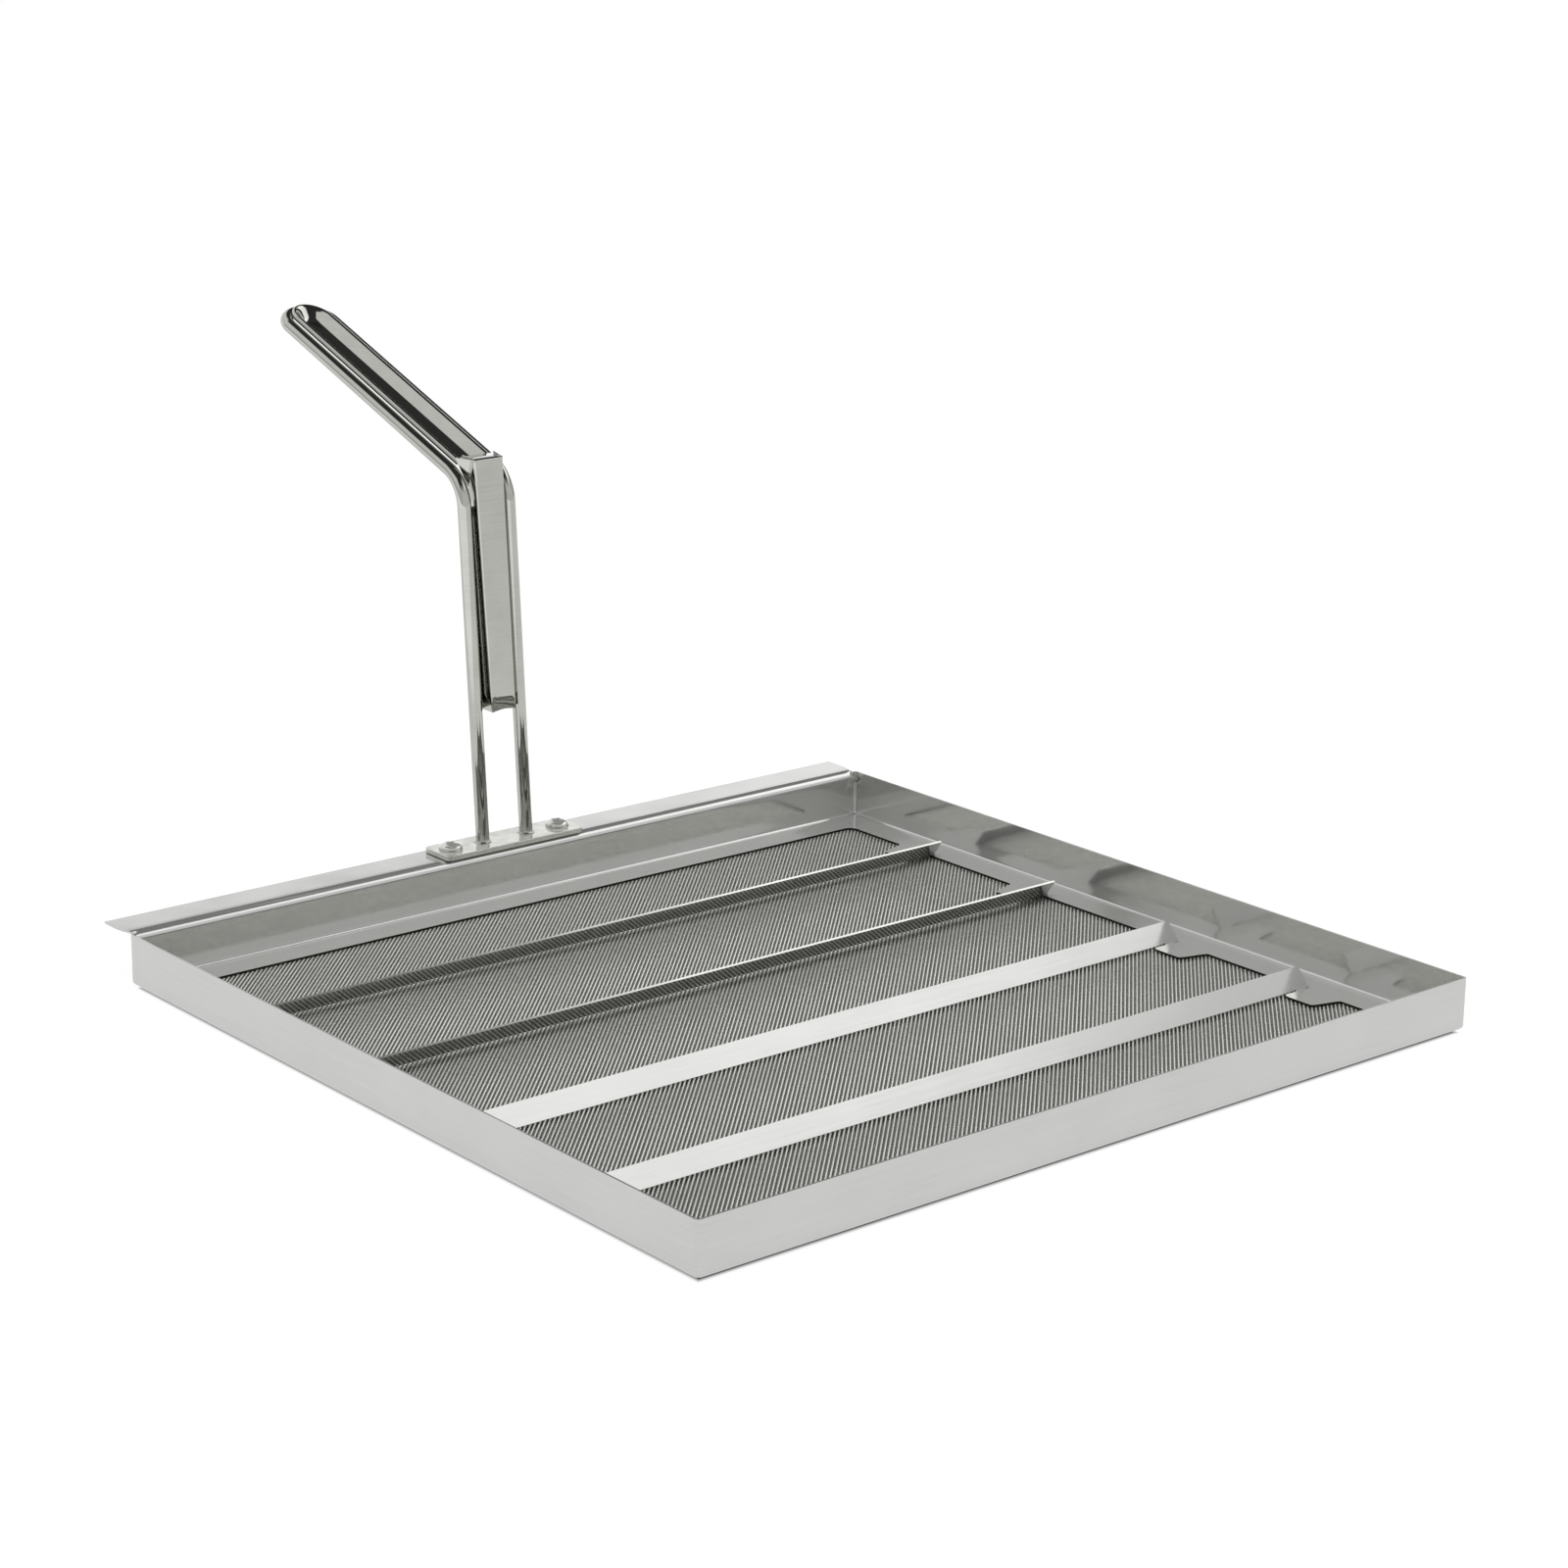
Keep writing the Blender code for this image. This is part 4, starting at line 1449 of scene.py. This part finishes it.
    def make_trough(self) -> Object:
        """Press the upper insert: a trough with a spoon end, its edge hemmed down to the rod.

        Returns:
            The trough.
        """
        side = self.smooth_profile(self.trough_side) + list(self.hem_side)
        end = self.smooth_profile(self.trough_end) + list(self.hem_end)
        run = spread(self.trough_start, self.rod.grip, self.trough_step)
        stations = [(-1.0, 0.0, s) for s in run]
        for share in shares(self.spoon_steps)[1:-1]:
            stations.append((-math.cos(math.pi * share), math.sin(math.pi * share), self.rod.grip))
        stations += [(1.0, 0.0, s) for s in reversed(run)]
        rows = []
        for across, along, base in stations:
            row = []
            for (reach, low), (far, high) in zip(side, end):
                rise = low + (high - low) * along
                spot = self.rod.knee + self.rod.grip_way * (base + far * along) + self.rod.grip_up * rise
                row.append((spot.x + reach * across, spot.y, spot.z))
            rows.append(row)
        bm = bmesh.new()
        skin(bm, rows)
        weld_up(bm, self.is_trough_floor, -self.rod.grip_up)
        trough = new_piece("grip_trough_sheet", bm, BUFFED_STEEL)
        solidify(trough, self.sheet, self.edge, even=False)
        return baked(trough)

    def smooth_profile(self, points: Sequence[Pair]) -> list[Pair]:
        """Round a profile's corners with a spline through its points.

        Args:
            points: (reach, rise) points.

        Returns:
            The points with more between each two.
        """
        full = [points[0], *points, points[-1]]
        smooth = []
        for before, a, b, after in zip(full, full[1:], full[2:], full[3:]):
            for t in shares(self.spline_steps)[:-1]:
                spot = []
                for p, q, r, s in zip(before, a, b, after):
                    square, cube = 2 * p - 5 * q + 4 * r - s, 3 * q - p - 3 * r + s
                    spot.append((2 * q + (r - p) * t + square * t ** 2 + cube * t ** 3) / 2)
                smooth.append(tuple(spot))
        return smooth + [points[-1]]


@dataclass
class ClampStrips:
    """The flat strips that clamp the cloth under the lip; their CAD shape is right."""

    nodes: tuple[str, ...] = (
        "clamp_strip_front", "clamp_strip_rear", "clamp_strip_left", "clamp_strip_right")

    def dress(self) -> None:
        """Give the strips the sheet's finish."""
        for name in self.nodes:
            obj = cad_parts[name]
            obj.data.materials.clear()
            obj.data.materials.append(MILL_SHEET.material())
            LOG.info("%s: CAD shape kept", name)


@dataclass(frozen=True)
class LightPanel:
    """A bright part of the room: its direction and edges, and the elevations it lies between."""

    towards: Point
    edge: Pair
    level: float
    fade: Pair
    foot: float = 1.0
    rise: Pair = (0.0, 1.0)
    slope: float = 0.0
    least: float = 0.0

    def steps(self) -> tuple[tuple[Pair, Pair], ...]:
        """The panel's steps over elevation: from and to as sines, then the light at both."""
        rise, fade = (tuple(math.sin(math.radians(a)) for a in pair) for pair in (self.rise, self.fade))
        return (rise, (self.foot, 1.0)), (fade, (1.0, 0.0))


# White sweep behind the table, cut off low, in a room that is never quite dark.
SWEEP = LightPanel((0.50, 0.87, 0.0), (0.25, 0.55), 1.16, (17.5, 21.0), least=0.05)

# Window on the left, dimmer below its sill.
WINDOW = LightPanel((-0.766, 0.643, 0.0), (0.12, 0.26), 1.05, (55.0, 61.0), foot=0.7, rise=(19.0, 27.0))

# Broad fill in front that fades upwards.
FILL = LightPanel((0.139, -0.990, 0.0), (0.40, 0.56), 0.88, (26.0, 58.0))

# Soft box on the right, brighter towards the rear.
SOFT_BOX = LightPanel(
    (0.927, -0.375, 0.0), (0.50, 0.58), 2.05, (53.0, 58.0), foot=0.0, rise=(30.0, 34.0), slope=0.9)


@dataclass
class Studio:
    """The pale table, the soft light round it and the camera."""

    table: float = 40.0
    glow: float = 0.94
    # Painted pool of light: extra glow on the table's left, rising between the two X values in metres.
    painted_light_pool: float = 0.4
    painted_light_pool_edge: Pair = (-0.45, -0.75)
    albedo: float = 0.10
    roughness: float = 0.9
    # Half sizes in millimetres of the painted shadow under the tray, and the width of its soft edge.
    shade: Pair = (223.6, 213.6)
    shade_edge: float = 3.0
    panels: tuple[LightPanel, ...] = (SWEEP, WINDOW, FILL, SOFT_BOX)
    lamp: Pair = (0.80, 0.50)
    lamp_ahead: float = 0.04
    lamp_height: float = 0.95
    lamp_watts: float = 12.5
    eye: Point = (-1.01176, -1.30523, 0.57294)
    back: Point = (-0.61424, -0.73697, 0.28211)
    roll: float = math.radians(0.597)
    lens: float = 82.49
    sensor: float = 36.0

    def build(self) -> None:
        """Set up the table, the light and the camera."""
        self.lay_table()
        self.light_room()
        self.hang_lamp()
        self.aim_camera()

    def lay_table(self) -> None:
        """Lay a white light table, with a painted shadow where the tray covers it."""
        bm = bmesh.new()
        bmesh.ops.create_grid(bm, x_segments=1, y_segments=1, size=self.table / 2)
        mesh = bpy.data.meshes.new("table")
        bm.to_mesh(mesh)
        bm.free()
        table = add_object("table", mesh)
        mesh.materials.append(self.table_finish())

    def table_finish(self) -> Material:
        """White acrylic, lit from within, with a painted shadow under the tray and a painted pool of
        brighter light towards the left.

        Returns:
            The table's material.
        """
        made = bpy.data.materials.new("white_acrylic_table")
        tree = blank_tree(made)
        node = partial(add_node, tree)
        place = node("ShaderNodeTexCoord")["Object"]
        axes = node("ShaderNodeSeparateXYZ", {0: place})
        # Painted shadow: no glow under the tray, rising to full just inside its walls.
        clear = 0.0
        for axis, half, centre in (("X", self.shade[0], 0.0), ("Y", self.shade[1], TRAY_Y)):
            off = node("ShaderNodeMath", {0: axes[axis], 1: centre}, operation="SUBTRACT")[0]
            far = node("ShaderNodeMath", {0: off}, operation="ABSOLUTE")[0]
            past = node("ShaderNodeMapRange", {
                "Value": far, "From Min": (half - self.shade_edge) * MM, "From Max": half * MM})["Result"]
            clear = node("ShaderNodeMath", {0: clear, 1: past}, operation="MAXIMUM")[0]
        # Painted pool of light: more glow towards the table's left.
        painted_light_pool = node("ShaderNodeMapRange", {
            "Value": axes["X"], "From Min": self.painted_light_pool_edge[0], "From Max": self.painted_light_pool_edge[1],
            "To Min": self.glow, "To Max": self.glow + self.painted_light_pool,
        }, interpolation_type="SMOOTHSTEP")["Result"]
        glow = node("ShaderNodeMath", {0: clear, 1: painted_light_pool}, operation="MULTIPLY")[0]
        shader = node("ShaderNodeBsdfPrincipled", {
            "Base Color": (self.albedo, self.albedo, self.albedo, 1.0),
            "Roughness": self.roughness,
            "Specular IOR Level": 0.0,
            "Emission Color": WHITE,
            "Emission Strength": glow,
        })["BSDF"]
        node("ShaderNodeOutputMaterial", {"Surface": shader})
        return made

    def light_room(self) -> None:
        """Light the room with its panels, under a dark ceiling."""
        world = bpy.data.worlds.new("studio")
        bpy.context.scene.world = world
        tree = blank_tree(world)
        node = partial(add_node, tree)
        way = node("ShaderNodeTexCoord")["Generated"]
        axes = node("ShaderNodeSeparateXYZ", {0: way})
        total = 0.0
        for panel in self.panels:
            near = node(
                "ShaderNodeVectorMath", {0: way, 1: panel.towards}, operation="DOT_PRODUCT")["Value"]
            lit = 1.0
            steps = [(near, panel.edge, (0.0, 1.0))] + [(axes["Z"], *step) for step in panel.steps()]
            for value, (start, end), (first, last) in steps:
                step = node("ShaderNodeMapRange", {
                    "Value": value, "From Min": start, "From Max": end, "To Min": first, "To Max": last,
                }, interpolation_type="SMOOTHSTEP")["Result"]
                lit = node("ShaderNodeMath", {0: lit, 1: step}, operation="MULTIPLY")[0]
            level = node(
                "ShaderNodeMath", {0: axes["Y"], 1: panel.slope, 2: panel.level},
                operation="MULTIPLY_ADD")[0]
            glow = node("ShaderNodeMath", {0: lit, 1: level, 2: panel.least}, operation="MULTIPLY_ADD")[0]
            total = node("ShaderNodeMath", {0: total, 1: glow}, operation="MAXIMUM")[0]
        light = node("ShaderNodeBackground", {"Color": WHITE, "Strength": total})[0]
        node("ShaderNodeOutputWorld", {"Surface": light})
        bpy.context.scene.view_settings.view_transform = "Standard"
        bpy.context.scene.view_settings.look = "None"

    def hang_lamp(self) -> None:
        """Hang a soft lamp over the tray, which lights the cloth but isn't mirrored."""
        data = bpy.data.lights.new("soft_box", "AREA")
        data.shape = "RECTANGLE"
        data.size, data.size_y = self.lamp
        data.energy = self.lamp_watts
        lamp = add_object("soft_box", data)
        lamp.location = (0.0, TRAY_Y - self.lamp_ahead, self.lamp_height)
        lamp.visible_glossy = False

    def aim_camera(self) -> None:
        """Stand the camera where the photograph was taken from."""
        back = Vector(self.back).normalized()
        right = Vector((0.0, 0.0, 1.0)).cross(back).normalized()
        up = back.cross(right)
        turn = math.cos(self.roll), math.sin(self.roll)
        across = right * turn[0] + up * turn[1]
        upright = up * turn[0] - right * turn[1]
        data = bpy.data.cameras.new("camera")
        data.lens = self.lens
        data.sensor_width = self.sensor
        data.clip_end = self.table * 2
        camera = add_object("camera", data)
        axes = Matrix((across, upright, back)).transposed().to_4x4()
        camera.matrix_world = Matrix.Translation(self.eye) @ axes
        bpy.context.scene.camera = camera


def main() -> None:
    """Build the sub-assemblies in order."""
    logging.basicConfig(level=logging.INFO, format="%(name)s: %(message)s")
    Studio().build()
    pan = FoldedPan()
    hand_over(pan.build(), pan.nodes, Slot.SHEET)
    for number, rib in enumerate(RibSet(pan).build(), start=1):
        hand_over(rib, (f"rib_{number}",), Slot.SHEET)
    for panel in WireCloth().build():
        hand_over(panel, ("mesh_screen",), Slot.CLOTH)
    ClampStrips().dress()
    foot = HandleFoot()
    for made in foot.build():
        hand_over(*made)
    rod = HandleRod(foot)
    hand_over(rod.build(), ("handle_rod",), Slot.HANDLE)
    for made in GripInserts(rod).build():
        hand_over(*made)


if __name__ == "__main__":
    main()
